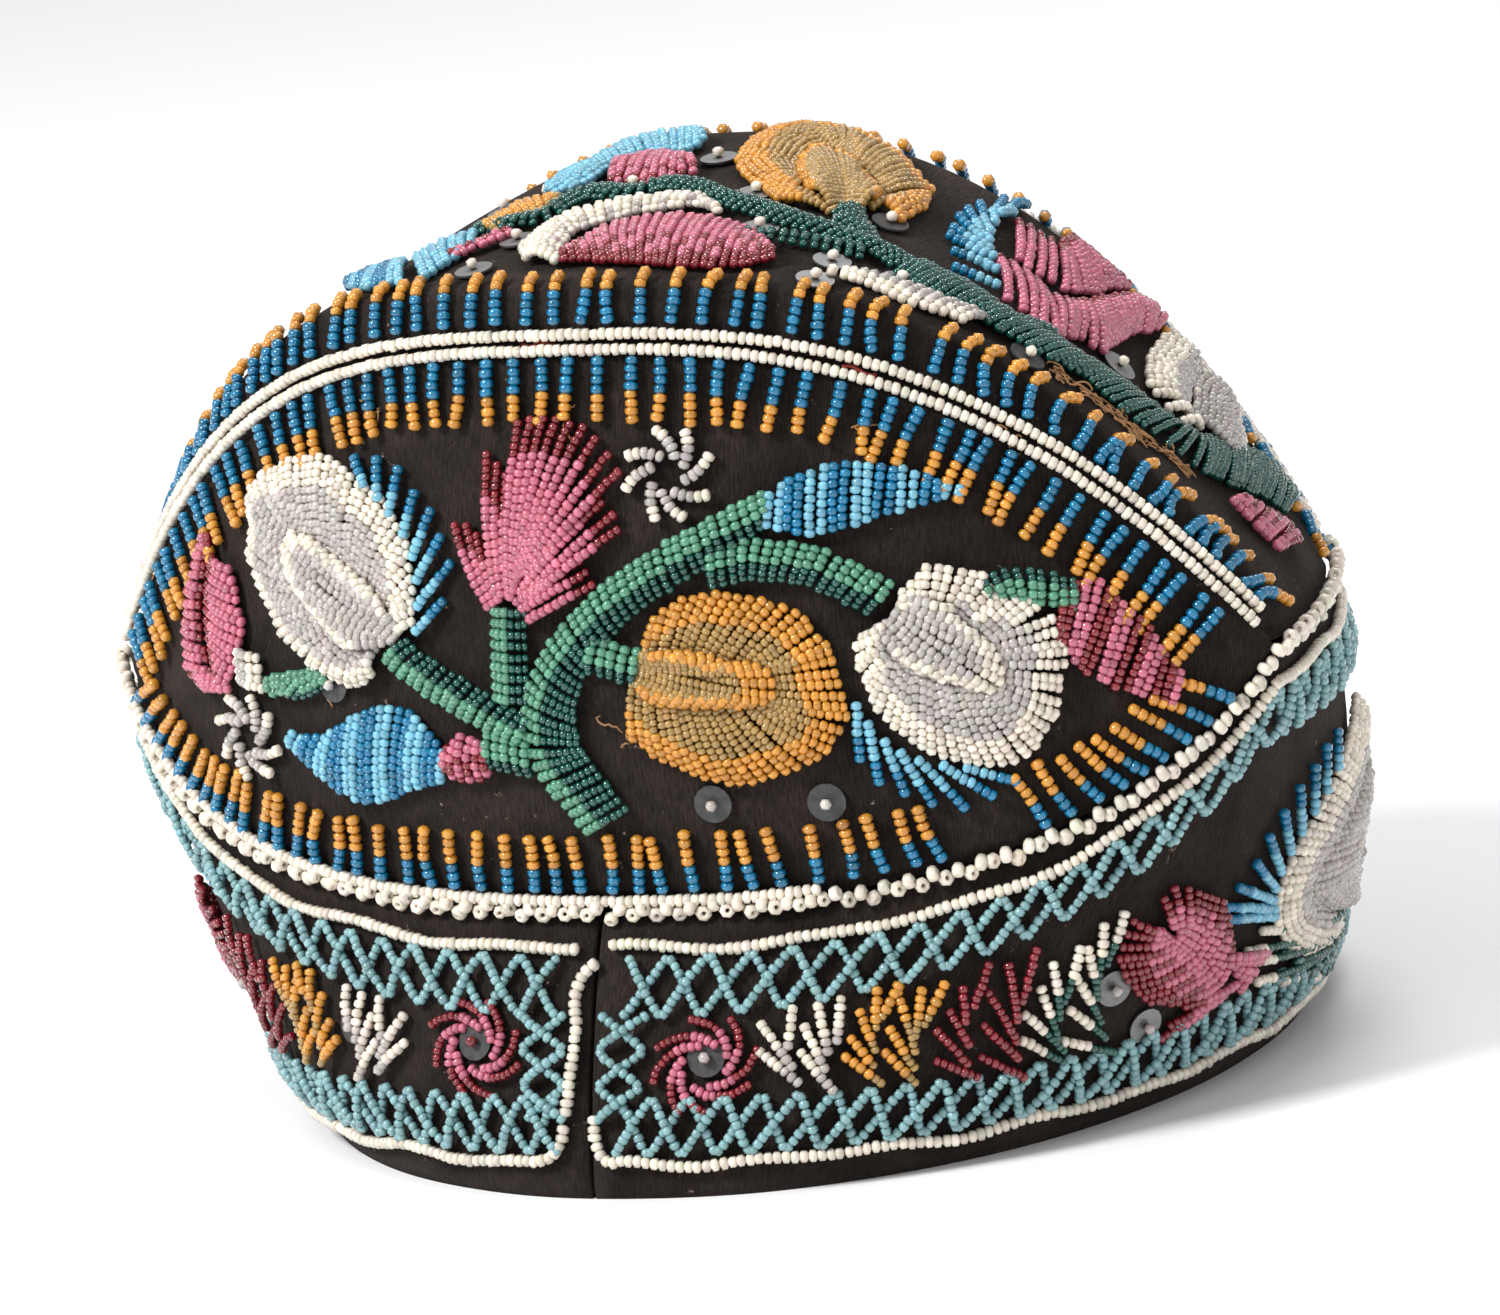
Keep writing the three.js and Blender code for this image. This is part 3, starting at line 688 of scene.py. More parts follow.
# Crown edging. Stout ivory beads sewn over the crown seam one after the other, a little up and a
# little down in turn. The lower ones are turned so that their holes show.
EDGING_BEAD = 2.7
EDGING_LENGTH = 1.9
EDGING_STEP = 1.95
EDGING_STAND = 0.5
EDGING_SPREAD = 0.55
EDGING_TUCK = 0.9
EDGING_TUCK_FROM = 88
EDGING_END = np.pi - 0.004
EDGING_SIDES = 7
EDGING_PROFILE = np.array((
    # share of the length, share of the radius, round the outside and back through the hole
    (-0.5, 0.5),
    (-0.3, 0.93),
    (0.0, 1.0),
    (0.3, 0.93),
    (0.5, 0.5),
    (0.3, 0.24),
    (-0.3, 0.24),
))


def crown_edging():
    """Beads set alternately above and below the seam line, an even step apart. The upper ones stand
    further out with their holes along the seam, and the lower ones' holes face outwards. All are
    tucked in where the seam turns its corners."""
    turn = np.linspace(-EDGING_END, EDGING_END, 2400)
    run = run_along(crown_seam(turn))
    count = int(run[-1] / EDGING_STEP)
    angle = np.interp((np.arange(count) + 0.5) * EDGING_STEP, run, turn)
    middle = crown_seam(angle)
    outward = outward_from(middle)
    ahead = unit(crown_seam(angle + 0.01) - crown_seam(angle - 0.01))
    upward = np.cross(outward, ahead)
    upward *= np.sign(upward[:, 2:3])
    odd = (np.arange(count) % 2)[:, None]
    above = np.where(odd, EDGING_SPREAD, -EDGING_SPREAD) + dice.normal(0, 0.28, (count, 1))
    out = EDGING_BEAD / 2 + np.where(odd, EDGING_STAND, 0) + dice.normal(0, 0.18, (count, 1))
    corner = (np.abs(middle[:, :1]) - EDGING_TUCK_FROM) / (CORNER_X - EDGING_TUCK_FROM)
    place = middle + upward * above + outward * (out - EDGING_TUCK * smooth(corner))
    along = np.where(odd, dice.uniform(0.75, 1, (count, 1)), dice.uniform(0, 0.35, (count, 1)))
    hole = unit(ahead * along + outward * (1 - along) + upward * dice.normal(-0.1, 0.25, (count, 1)))
    radius = EDGING_BEAD / 2 * dice.normal(1, 0.05, count)
    length = EDGING_LENGTH * dice.normal(1, 0.06, count)
    return np.column_stack((place, hole, radius, length, np.full(count, GLASS_NAMES.index("ivory"))))


bead_piece("crown_edging_beads", [crown_edging()], ["crown_edging"],
           profile=EDGING_PROFILE, closed=True, sides=EDGING_SIDES)

# Bars. Short straight strings of opaque seed beads set square to the seams of the upper panels,
# blue next to the seam and amber beyond. On the top panel they bend over its rims.
BAR_STEP = 5.0
BAR_CROWDING = 0.2
FRONT_GAP = (59, 70)
BAR_END = 0.965
BAR_LEAN, BAR_SWAY = 0.06, 0.35
BAR_REACH_SPREAD, BAR_STEP_SPREAD = 0.03, 0.09
TOP_WAY = 100
BACK_WAY = 100
PATH_STEPS = 24


def on_front(x, y, lift):
    """Points over the front panel: millimetres from its middle and over the rim's level."""
    side = x / CORNER_X
    low = front_face(side, np.zeros_like(side))[..., 2]
    high = front_face(side, np.ones_like(side))[..., 2]
    return raised(front_face, side, np.clip((y - low) / (high - low), 0, 1), lift)


def on_top(x, y, lift):
    """Points over the top panel: millimetres from its middle and hundredths of the way back."""
    return raised(top_face, x / CORNER_X, np.clip(y / TOP_WAY, 0, 1), lift)


def on_back(x, y, lift):
    """Points over the back panel: millimetres from its middle and hundredths of the way up."""
    return raised(back_face, x / CORNER_X, np.clip(y / BACK_WAY, 0, 1), lift)


def laid(over, places, lift, runs, diameter=SEED_BEAD, length=SEED_LENGTH):
    """One string of beads through places on a panel."""
    return thread_beads(over(*places.T, lift), runs, diameter, length)


def bars(over, edge, start, reach, runs, lean=0.7, gap=None, swing=0.0, tuck=0.0, crowding=BAR_CROWDING):
    """Strings of one reach set in from an edge, one each step along it. A bar points between
    straight across the panel and square to the edge, by the share that lean gives, bends towards
    the corners by the swing, and starts nearer the edge there by the tuck."""
    run = run_along(over(*edge.T, 0))
    slope = np.gradient(edge, axis=0)
    across = unit(np.column_stack((-slope[:, 1], slope[:, 0])))
    inward = 1 if start > 0 else -1
    share = np.linspace(0, 1, PATH_STEPS)[:, None]
    rows = []
    at = BAR_STEP / 2
    while at < run[-1]:
        foot = np.array([np.interp(at, run, edge[:, k]) for k in (0, 1)])
        square = np.array([np.interp(at, run, across[:, k]) for k in (0, 1)])
        way = unit(lerp(np.array((0.0, 1.0)), square, lean) + (dice.normal(0, BAR_LEAN), 0)) * inward
        side_way = foot[0] / CORNER_X
        first = abs(start) * (1 - tuck * side_way ** 2)
        places = foot + way * (first + share * reach * dice.normal(1, BAR_REACH_SPREAD))
        places[:, 0] += swing * side_way * share[:, 0] ** 2
        places[:, 0] += dice.normal(0, BAR_SWAY) * np.sin(np.pi * share[:, 0])
        if gap is None or not gap[0] < foot[0] < gap[1]:
            rows.append(laid(over, places, bead_lift, runs))
        at += BAR_STEP * (1 - crowding * side_way ** 2) * dice.normal(1, BAR_STEP_SPREAD)
    return rows


long_bar, short_bar = [("blue", 4), ("amber", 4)], [("blue", 3), ("amber", 4)]
side = np.linspace(-BAR_END, BAR_END, 240)
seam_low = np.column_stack((side * CORNER_X, front_face(side, 0 * side)[:, 2]))
seam_high = np.column_stack((side * CORNER_X, front_face(side, 0 * side + 1)[:, 2]))
front_bars = bars(on_front, seam_high, start=-2.4, reach=10, runs=long_bar)
front_bars += bars(on_front, seam_low, start=3.2, reach=9.8, runs=short_bar,
                   lean=1.25, gap=FRONT_GAP, tuck=0.8)
bead_piece("front_bars", front_bars)
edge = np.column_stack((side * CORNER_X, 0 * side))
rim_bar = [("blue", 4), ("amber", None)]
top_bars = bars(on_top, edge, start=3.7, reach=10.2, runs=rim_bar, lean=0, swing=2, crowding=0.45)
top_bars += bars(on_top, edge + (0, TOP_WAY), start=-3.7, reach=10.2, runs=rim_bar, lean=0, swing=2)
bead_piece("top_bars", top_bars)
back_bars = bars(on_back, edge + (0, BACK_WAY), start=-4.5, reach=10.7, runs=long_bar, lean=0)
back_bars += bars(on_back, edge, start=2, reach=9.8, runs=short_bar, lean=0)
bead_piece("back_bars", back_bars)

# Lattices. Two zigzags of pale teal seed beads laid over each other, under the band's upper line
# and over its lower line, and up both sides of the front seam.
LATTICE_PERIOD = 11.4
LATTICE_BEAD = 1.7
LATTICE_BEAD_LENGTH = 1.36
LATTICE_HEIGHT = 10
LATTICE_INSET = BAND_LINE_INSET + 1.0
LATTICE_START = 5.0
LATTICE_EDGE = 0.04
LATTICE_CROSSING = 1.1
RIGHT_RAIL, LEFT_RAIL = 1.4, -3.4
SEAM_LATTICE_FOOT, SEAM_LATTICE_LENGTH = 13, 17
SEAM_LATTICE_WIDTH = 7.5


def lattice(over, rail, length, height):
    """Two zigzags between a rail and a line a height away. The second one is half a period on,
    and rises over the first where they cross."""
    rows = []
    count = int(round(2 * length / LATTICE_PERIOD))
    share = np.linspace(0, 1, PATH_STEPS)
    for layer in (0, 1):
        for k in range(count):
            along = (k + share) * length / count
            up = share if (k + layer) % 2 else 1 - share
            places = rail(along, np.clip(up, LATTICE_EDGE, 1 - LATTICE_EDGE) * height)
            lift = bead_lift + layer * LATTICE_CROSSING * np.sin(np.pi * share)
            rows.append(laid(over, places, lift, [("teal", None)], LATTICE_BEAD, LATTICE_BEAD_LENGTH))
    return rows


def upper_rail(along, away):
    """Places under the upper line."""
    x = LATTICE_START + along
    return np.column_stack((x, face_height(band_face, x / BAND_REACH) - LATTICE_INSET - away))


def lower_rail(along, away):
    """Places over the lower line."""
    return np.column_stack((LATTICE_START + along, LATTICE_INSET + away))


def right_rail(along, away):
    """Places beside the front seam, on its right."""
    return np.column_stack((RIGHT_RAIL + away, SEAM_LATTICE_FOOT + along))


def left_rail(along, away):
    """Places beside the front seam, on its left."""
    return np.column_stack((LEFT_RAIL - away, SEAM_LATTICE_FOOT + along))


around = ROUND - 2 * LATTICE_START
bead_piece("upper_lattice", lattice(on_band, upper_rail, around, LATTICE_HEIGHT))
bead_piece("lower_lattice", lattice(on_band, lower_rail, around, LATTICE_HEIGHT))
seam_lattice = lattice(on_band, right_rail, SEAM_LATTICE_LENGTH, SEAM_LATTICE_WIDTH)
seam_lattice += lattice(on_band, left_rail, SEAM_LATTICE_LENGTH, SEAM_LATTICE_WIDTH)
bead_piece("seam_lattice", seam_lattice)

# Raised beadwork. Each flower, leaf and stem is made of strings laid side by side over a padding,
# from one edge of the motif to the other, a little longer than the way between, so that they arch.
FINE_BEAD = 1.85
FINE_LENGTH = 1.36
ROW_STEP = 1.84
STEM_STEP = 1.72
STEM_ARCH = 1.3
ARCH_ROUND = 0.8
ARCH_SPREAD = 0.06
STRING_SPREAD, STEM_SPREAD = 0.16, 0.12
CURVE_STEPS = 13


def through(points, count):
    """Places spread evenly along a smooth curve through a few points: each stretch is a cubic whose
    ends head along the line between their neighbours."""
    points = np.array(points, float)
    padded = np.vstack((2 * points[0] - points[1], points, 2 * points[-1] - points[-2]))
    a, b, c, d = (padded[k:len(padded) - 3 + k, None] for k in range(4))
    t = np.linspace(0, 1, CURVE_STEPS)[:, None]
    square, cube = (2 * a - 5 * b + 4 * c - d) * t ** 2, (3 * b - a - 3 * c + d) * t ** 3
    curve = (0.5 * (2 * b + (c - a) * t + square + cube)).reshape(-1, 2)
    run = run_along(curve)
    places = np.linspace(0, run[-1], count)
    return np.column_stack([np.interp(places, run, curve[:, k]) for k in (0, 1)])


def strings(over, foot, tip, runs, arch, base=0.0, count=None, late=0.0, rise=0.0):
    """Strings side by side from places along the foot to places along the tip. Each is arched by
    a rounded sine, over padding as high as the base, and every other one starts a share late, where
    they crowd. The tips stand up by the rise. runs is one list for all or several taken in turn."""
    if count is None:
        widest = max(run_along(over(*through(line, 40).T, 0))[-1] for line in (foot, tip))
        count = max(int(round(widest / ROW_STEP)) + 1, 1)
    starts, ends = through(foot, count), through(tip, count)
    share = np.linspace(0, 1, PATH_STEPS)
    rows = []
    several = isinstance(runs[0], list)
    for k, (start, end) in enumerate(zip(starts, ends)):
        jitter = dice.normal(0, STRING_SPREAD, 4)
        start = start + jitter[:2]
        end = end + jitter[2:]
        start = lerp(start, end, late * (k % 2))
        places = lerp(start, end, share[:, None])
        hump = (base + arch * dice.normal(1, ARCH_SPREAD)) * np.sin(np.pi * share) ** ARCH_ROUND
        lift = FINE_BEAD / 2 + BEAD_SEAT + hump + rise * share
        tones = runs[k % len(runs)] if several else runs
        rows.append(laid(over, places, lift, tones, FINE_BEAD, FINE_LENGTH))
    return rows


def stem_strings(over, route, width, runs, slant):
    """Short strings laid across a route, a little aslant, from its left edge to its right. Their
    number and their width are measured on the panel."""
    middle = through(route, 80)
    run = run_along(over(*middle.T, 0))
    count = int(round(run[-1] / STEM_STEP)) + 1
    at = np.linspace(0, run[-1], count)
    places = np.stack([np.interp(at, run, middle[:, k]) for k in (0, 1)], axis=1)
    way = unit(np.gradient(places, axis=0))
    left = np.column_stack((-way[:, 1], way[:, 0]))
    widths = np.atleast_1d(width)
    half = np.interp(np.linspace(0, 1, count), np.linspace(0, 1, len(widths)), widths / 2)[:, None]
    foot = places + left * half - way * slant * half
    tip = places - left * half + way * slant * half
    across = np.linalg.norm(over(*foot.T, 0) - over(*tip.T, 0), axis=1)[:, None]
    foot = lerp(places, foot, 2 * half / across)
    tip = lerp(places, tip, 2 * half / across)
    rows = []
    share = np.linspace(0, 1, PATH_STEPS)
    for start, end in zip(foot, tip):
        line = lerp(start, end, share[:, None]) + dice.normal(0, STEM_SPREAD, 2)
        lift = FINE_BEAD / 2 + BEAD_SEAT + STEM_ARCH * np.sin(np.pi * share) ** ARCH_ROUND
        rows.append(laid(over, line, lift, runs, FINE_BEAD, FINE_LENGTH))
    return rows


def spikes(over, feet, tips, runs, base=0.0, stand=0.0):
    """Loose strings, each straight from its own foot to its own tip. The foot is raised by the base,
    and the middle stands up by a sine."""
    rows = []
    share = np.linspace(0, 1, PATH_STEPS)
    for start, end in zip(feet, tips):
        line = lerp(np.array(start, float), np.array(end, float), share[:, None])
        lift = FINE_BEAD / 2 + BEAD_SEAT + base * (1 - share) + stand * np.sin(np.pi * share)
        rows.append(laid(over, line, lift, runs, FINE_BEAD, FINE_LENGTH))
    return rows


PINWHEEL_ARMS = 8
ARM_SPREAD = 0.06
ARM_GROWTH, ARM_BEND, ARM_SWING = 1.15, 0.8, 1.6


def pinwheel(over, middle, runs, inner=2.6, outer=7.4, bead=2.05, turn=0.0, swirl=0.55):
    """Curved arms round a middle. Along an arm the radius grows from inner to outer with a power of
    the way, and the angle swings with a lower power of it."""
    rows = []
    share = np.linspace(0, 1, PATH_STEPS)
    for k in range(PINWHEEL_ARMS):
        angle = turn + 2 * np.pi * k / PINWHEEL_ARMS + dice.normal(0, ARM_SPREAD)
        radius = inner + (outer - inner) * share ** ARM_GROWTH
        swing = angle + swirl * ARM_SWING * share ** ARM_BEND
        places = np.column_stack((np.cos(swing), np.sin(swing))) * radius[:, None] + middle
        rows.append(laid(over, places, bead_lift, runs, bead, SEED_LENGTH * bead / SEED_BEAD))
    return rows


# Front motifs. Two halved white flowers with blue calyxes, a pink tulip, a halved gold flower, two
# striped blue leaves, a pink side flower and a striped pink leaf, joined by green stems.


def tipped(body, tip, count):
    """The glasses of a string that ends in a few beads of another glass."""
    return [(body, None), (tip, count)]


RIMMED = tipped("opal", "ivory", 4)
NARROW_RIM = tipped("opal", "ivory", 3)
white_left = strings(
    on_front,
    foot=[(-29.6, 89.5), (-31.6, 93), (-35, 95), (-38, 97.6), (-41.4, 99.6), (-44.6, 101.6),
          (-48.6, 102.4)],
    tip=[(-26.2, 91), (-25.7, 96.8), (-26, 99.4), (-26.5, 104.7), (-28.9, 107.2), (-30.2, 109.9),
         (-34.1, 111.8), (-37.4, 113.8), (-40.3, 115.4), (-44.5, 116.1), (-50.7, 115.1), (-57.2, 112.4)],
    runs=RIMMED, arch=1.8)
white_left += strings(
    on_front,
    foot=[(-49, 102.8), (-49.4, 100), (-48.6, 96.6), (-45.4, 93.8), (-43, 91.6), (-41, 89), (-38, 87.2),
          (-34, 86.4)],
    tip=[(-57.6, 112), (-61.1, 109), (-60.3, 104.5), (-61.4, 100.4), (-60.6, 96.7), (-58.5, 93.4),
         (-56.6, 90.4), (-54.6, 87), (-51.5, 84.7), (-48.4, 82.3), (-43.9, 80.6), (-39, 79.9),
         (-35.9, 81.6)],
    runs=NARROW_RIM, arch=1.8)
white_left += strings(
    on_front,
    foot=[(-28.3, 90), (-29.2, 88.6), (-30.9, 87.6)],
    tip=[(-32, 94.8), (-37.2, 98.6), (-43.4, 102.3), (-48.6, 104), (-51.2, 101), (-49.9, 96.8),
         (-44.7, 91.6), (-39.4, 87)],
    runs=NARROW_RIM, arch=1.2, base=1.0, late=0.45, rise=1.8)
bead_piece("white_flower_left_beads", white_left, ["front_white_flower_left"])

CALYX = tipped("pale_blue", "blue", 3)
calyx_left = spikes(
    on_front,
    feet=[(-34, 111.5), (-31.5, 109.5), (-29.5, 107), (-27, 104), (-25.5, 100.5), (-25, 97), (-25.3, 93),
          (-26, 89)],
    tips=[(-37, 116.5), (-32.2, 116.6), (-27.8, 115.2), (-24.7, 111.6), (-21.6, 108.9), (-19.8, 104.7),
          (-18.2, 100.5), (-20, 94.6)],
    runs=CALYX, base=0.8)
bead_piece("calyx_left_beads", calyx_left, ["front_blue_calyx_left"])

tulip = spikes(
    on_front,
    feet=[(-11.5, 93), (-10.5, 93.6), (-9.6, 94.2)],
    tips=[(-17.4, 106.6), (-15.2, 106.6), (-13.3, 105)],
    runs=tipped("pink", "dark_red", 4), base=0.3, stand=1)
tulip += spikes(
    on_front,
    feet=[(-9.9, 94.6), (-9, 95), (-8, 95), (-7, 95.5)],
    tips=[(-10.8, 117.6), (-8.9, 116), (-7.2, 114.3), (-5.6, 113)],
    runs=tipped("pink", "dark_red", 6), base=0.4, stand=1.4)
tulip += spikes(
    on_front,
    feet=[(-7.5, 94.5), (-7, 95.6), (-6.6, 96.6), (-6.2, 97.4), (-5.7, 98), (-5.2, 98.4), (-4.8, 98.8),
          (-4.6, 98.6), (-4.3, 98.2)],
    tips=[(-4.9, 122.2), (-2.7, 122.8), (-0.5, 122.9), (1.8, 122.7), (4.1, 122), (6.4, 121.4),
          (8.6, 119.6), (10.6, 117), (12.4, 114.4)],
    runs=tipped("pink", "dark_red", 5), base=0.6, stand=1.8)
tulip += spikes(
    on_front,
    feet=[(-6, 95.5), (-5.4, 94.9), (-5, 94.2)],
    tips=[(9.3, 109.8), (11.2, 107.8), (11.8, 105.4)],
    runs=tipped("pink", "dark_red", 4), base=0.4, stand=1.4)
tulip += spikes(
    on_front,
    feet=[(-7, 94), (-6.2, 92.9), (-5, 91.4)],
    tips=[(5, 100.7), (6.3, 98.9), (7.2, 96.9)],
    runs=tipped("pink", "dark_red", 3), base=0.3, stand=1)
bead_piece("tulip_beads", tulip, ["front_tulip"])

GOLD = tipped("clear_gold", "amber", 4)
gold = strings(
    on_front,
    foot=[(14.4, 84.4), (18, 84.2), (22, 84.2), (25, 82.8), (29, 81.8), (33, 81.4)],
    tip=[(17.2, 91.3), (19.5, 93.3), (22.4, 94.1), (26, 94.8), (29.6, 94.4), (33.6, 93.4), (37.4, 92),
         (40.2, 89.8), (43.4, 85.5)],
    runs=GOLD, arch=1.7)
gold += strings(
    on_front,
    foot=[(30.5, 82.4), (30.6, 80), (29.4, 78)],
    tip=[(43.4, 84.4), (44.5, 80), (45.2, 76.4), (45.3, 73.7)],
    runs=tipped("clear_gold", "amber", 5), arch=1.5)
gold += strings(
    on_front,
    foot=[(12.6, 81.4), (15.6, 79.6), (20, 78.8), (24.4, 78.6), (28.6, 78.6), (32, 77.8)],
    tip=[(11.4, 72), (14, 69.5), (18.2, 67.4), (20.5, 65.9), (23.9, 64.7), (28.5, 64.2), (32.8, 65.1),
         (37, 66), (41.3, 68.3), (43.8, 71.6)],
    runs=GOLD, arch=1.8)
gold += strings(
    on_front,
    foot=[(13.4, 85.6), (12.9, 83.6), (12.5, 81.2)],
    tip=[(21, 85.8), (24.6, 85.2), (28, 83.8), (33, 82.8), (35, 81.2), (35.2, 79.4), (33.6, 77.4),
         (28, 77.4), (22.4, 77.6), (17.4, 78.2)],
    runs=GOLD, arch=1.0, base=1.0, late=0.35, rise=1.8)
bead_piece("gold_flower_beads", gold, ["front_gold_flower"])

white_right = strings(
    on_front,
    foot=[(54.8, 89), (57.6, 88.6), (60, 87.6), (62, 86.4), (62.6, 84.4), (64, 82.4)],
    tip=[(54.6, 92.6), (57.7, 95.7), (59.8, 95.8), (62.1, 95.3), (65.5, 93.8), (66.8, 91.5), (69.4, 89),
         (71.2, 89.4), (73.3, 87.8)],
    runs=RIMMED, arch=1.4)
white_right += strings(
    on_front,
    foot=[(64, 83), (64.8, 80.6), (65.4, 78.4), (65.4, 76.8)],
    tip=[(75.4, 85.4), (76.4, 82.4), (76.7, 79.2), (75.6, 74.8), (75.4, 72.5), (74.8, 70.5)],
    runs=RIMMED, arch=1.6)
white_right += strings(
    on_front,
    foot=[(52.4, 88), (53.4, 84.4), (55.6, 82), (58, 80.6), (60.6, 79.4), (63, 78.6), (65, 77.6)],
    tip=[(47.8, 86), (47.1, 83), (48.2, 78.6), (49.4, 75.7), (51, 72.4), (53, 70.1), (57.2, 66.4),
         (62.9, 64.3), (65.3, 63.5), (68.9, 63.8), (71, 65.5), (74.4, 70)],
    runs=RIMMED, arch=1.8)
white_right += strings(
    on_front,
    foot=[(55, 91.6), (53, 89.6), (52, 88.1), (50.4, 87.4)],
    tip=[(61.4, 89), (62.7, 86.4), (65.5, 83.6), (67, 81.4), (67.9, 78.9), (67.6, 76.4), (65.4, 76),
         (62.7, 77.2), (60.1, 78.2), (57.5, 79.6), (55.2, 81.3)],
    runs=NARROW_RIM, arch=1.0, base=1.0, late=0.35, rise=1.8)
bead_piece("white_flower_right_beads", white_right, ["front_white_flower_right"])

calyx_right = spikes(
    on_front,
    feet=[(46.6, 76), (48, 73), (50, 70), (52, 68), (54.6, 66.4), (57.7, 65), (61, 64.2)],
    tips=[(46.2, 66.4), (48.6, 62.4), (52.3, 60.2), (56.2, 58.1), (60.8, 57.1), (65, 58.6), (68.8, 60.4)],
    runs=CALYX, base=0.4)
bead_piece("calyx_right_beads", calyx_right)

STRIPES = [[(tone, None)] for tone in ("pale_blue", "pale_blue", "blue", "blue")]
leaf_upper = strings(
    on_front,
    foot=[(35, 104), (38, 103), (42, 102.4), (47, 102.6), (50, 103.6), (57, 105), (63, 106.2)],
    tip=[(36, 109.4), (41, 112.2), (47.8, 112.8), (54.6, 111.4), (59.8, 109.2), (63, 107)],
    runs=STRIPES, arch=0.9)
bead_piece("blue_leaf_upper_beads", leaf_upper, ["front_blue_leaf_upper"])
leaf_lower = strings(
    on_front,
    foot=[(-55.4, 68.6), (-50.5, 65), (-46, 62), (-41, 60.4), (-36.4, 61.2), (-31, 63), (-25, 65)],
    tip=[(-54, 71), (-48, 71), (-42, 74), (-35, 77), (-29.4, 76.8), (-25.5, 73), (-23, 70.6)],
    runs=STRIPES, arch=1.0)
bead_piece("blue_leaf_lower_beads", leaf_lower, ["front_blue_leaf_lower"])

STEM = [("green", 3), ("dark_teal", None)]
main_stem = stem_strings(
    on_front,
    route=[(4.5, 59), (0.8, 64), (-3, 71), (-2, 79), (2.5, 86.5), (8.8, 92.6), (16.4, 97.6),
           (24.2, 101.5), (30.7, 105), (35, 107)],
    width=(9, 9.5, 10, 8.5, 7.5, 7, 7, 6.5, 5), runs=STEM, slant=-0.2)
main_stem += stem_strings(
    on_front,
    route=[(-9.2, 79), (-8.6, 86), (-8.2, 92.6)],
    width=6.2, runs=STEM, slant=0)
main_stem += stem_strings(
    on_front,
    route=[(5.5, 85.6), (9, 84.6), (12.5, 83.6)],
    width=6, runs=STEM, slant=0)
bead_piece("main_stem_beads", main_stem, ["front_main_stem"])
left_branch = stem_strings(
    on_front,
    route=[(-30.2, 86), (-26, 83), (-20, 79.8), (-13, 76), (-8, 73.6)],
    width=6.4, runs=tipped("dark_teal", "green", 3), slant=-0.3)
left_branch += stem_strings(
    on_front,
    route=[(-14.6, 70.6), (-11.4, 69.8), (-8, 69)],
    width=6, runs=STEM, slant=0.2)
left_branch += stem_strings(
    on_front,
    route=[(-58, 78.4), (-52, 79), (-46, 81)],
    width=(3, 5, 4), runs=STEM, slant=0.5)
bead_piece("left_branch_beads", left_branch, ["front_left_branch"])
right_branch = stem_strings(
    on_front,
    route=[(26.5, 98.6), (32, 99.4), (38, 98.6), (44, 96.4), (51, 91.8)],
    width=6.4, runs=STEM, slant=-0.15)
right_branch += stem_strings(
    on_front,
    route=[(66.4, 91.6), (71.5, 91), (77.8, 88.4)],
    width=(4, 5.5, 5), runs=[("dark_teal", 2), ("green", None)], slant=0.4)
bead_piece("right_branch_beads", right_branch, ["front_right_branch"])

berry = strings(
    on_front,
    foot=[(-23.4, 67), (-20, 65), (-15.4, 66)],
    tip=[(-22, 71), (-18.6, 72.8), (-15, 71)],
    runs=[[("dark_red", 1), ("pink", 2), ("dark_red", 1), ("pink", None)],
          [("pink", 1), ("dark_red", 2), ("pink", None)]], arch=1.4)
bead_piece("berry_beads", berry, ["front_berry"])
PINK_STRIPES = [[("dark_red", None)], [("dark_red", None)], [("pink", None)], [("pink", None)]]
pink_leaf = strings(
    on_front,
    foot=[(75.5, 81.5), (77.5, 77.6), (81.5, 74), (85, 72), (89.5, 69)],
    tip=[(77, 90), (80.5, 91), (83.6, 87.2), (87, 83), (91, 74.5)],
    runs=PINK_STRIPES, arch=1.0)
bead_piece("pink_leaf_beads", pink_leaf, ["front_pink_leaf"])

side_flower = strings(
    on_front,
    foot=[(-71.5, 97.5), (-72.5, 94), (-73.5, 89), (-73, 84), (-72, 80)],
    tip=[(-66, 96), (-64.8, 92), (-63.8, 87), (-65.5, 82), (-69, 77)],
    runs=[("dark_red", 2), ("pink", None)], arch=1.0)
side_flower += strings(
    on_front,
    foot=[(-74, 100), (-76, 96), (-78.5, 91), (-80, 85), (-80, 79.5)],
    tip=[(-71, 101), (-73, 95), (-74.5, 89.5), (-74.5, 84), (-73, 79)],
    runs=[("dark_red", 1), ("pink", None), ("dark_red", 1)], arch=1.0)
side_flower += strings(
    on_front,
    foot=[(-79, 77.5), (-76.5, 76)],
    tip=[(-71, 78), (-68.5, 76.6)],
    runs=[("dark_red", 2), ("pink", None)], arch=1.0)
bead_piece("side_flower_beads", side_flower, ["front_pink_side_flower"])
bud = strings(
    on_front,
    foot=[(-66, 83), (-66, 79)],
    tip=[(-60.5, 82.5), (-60, 77.5)],
    runs=[("ivory", 1), ("opal", 2), ("ivory", None)], arch=1.2)
bud += pinwheel(on_front, middle=(20, 113.2), runs=[("opal", 3), ("ivory", 3)], turn=0.3)
bud += pinwheel(on_front, middle=(-65.5, 69), runs=[("opal", 3), ("ivory", 3)], turn=0.5)
bead_piece("front_pinwheel_beads", bud)

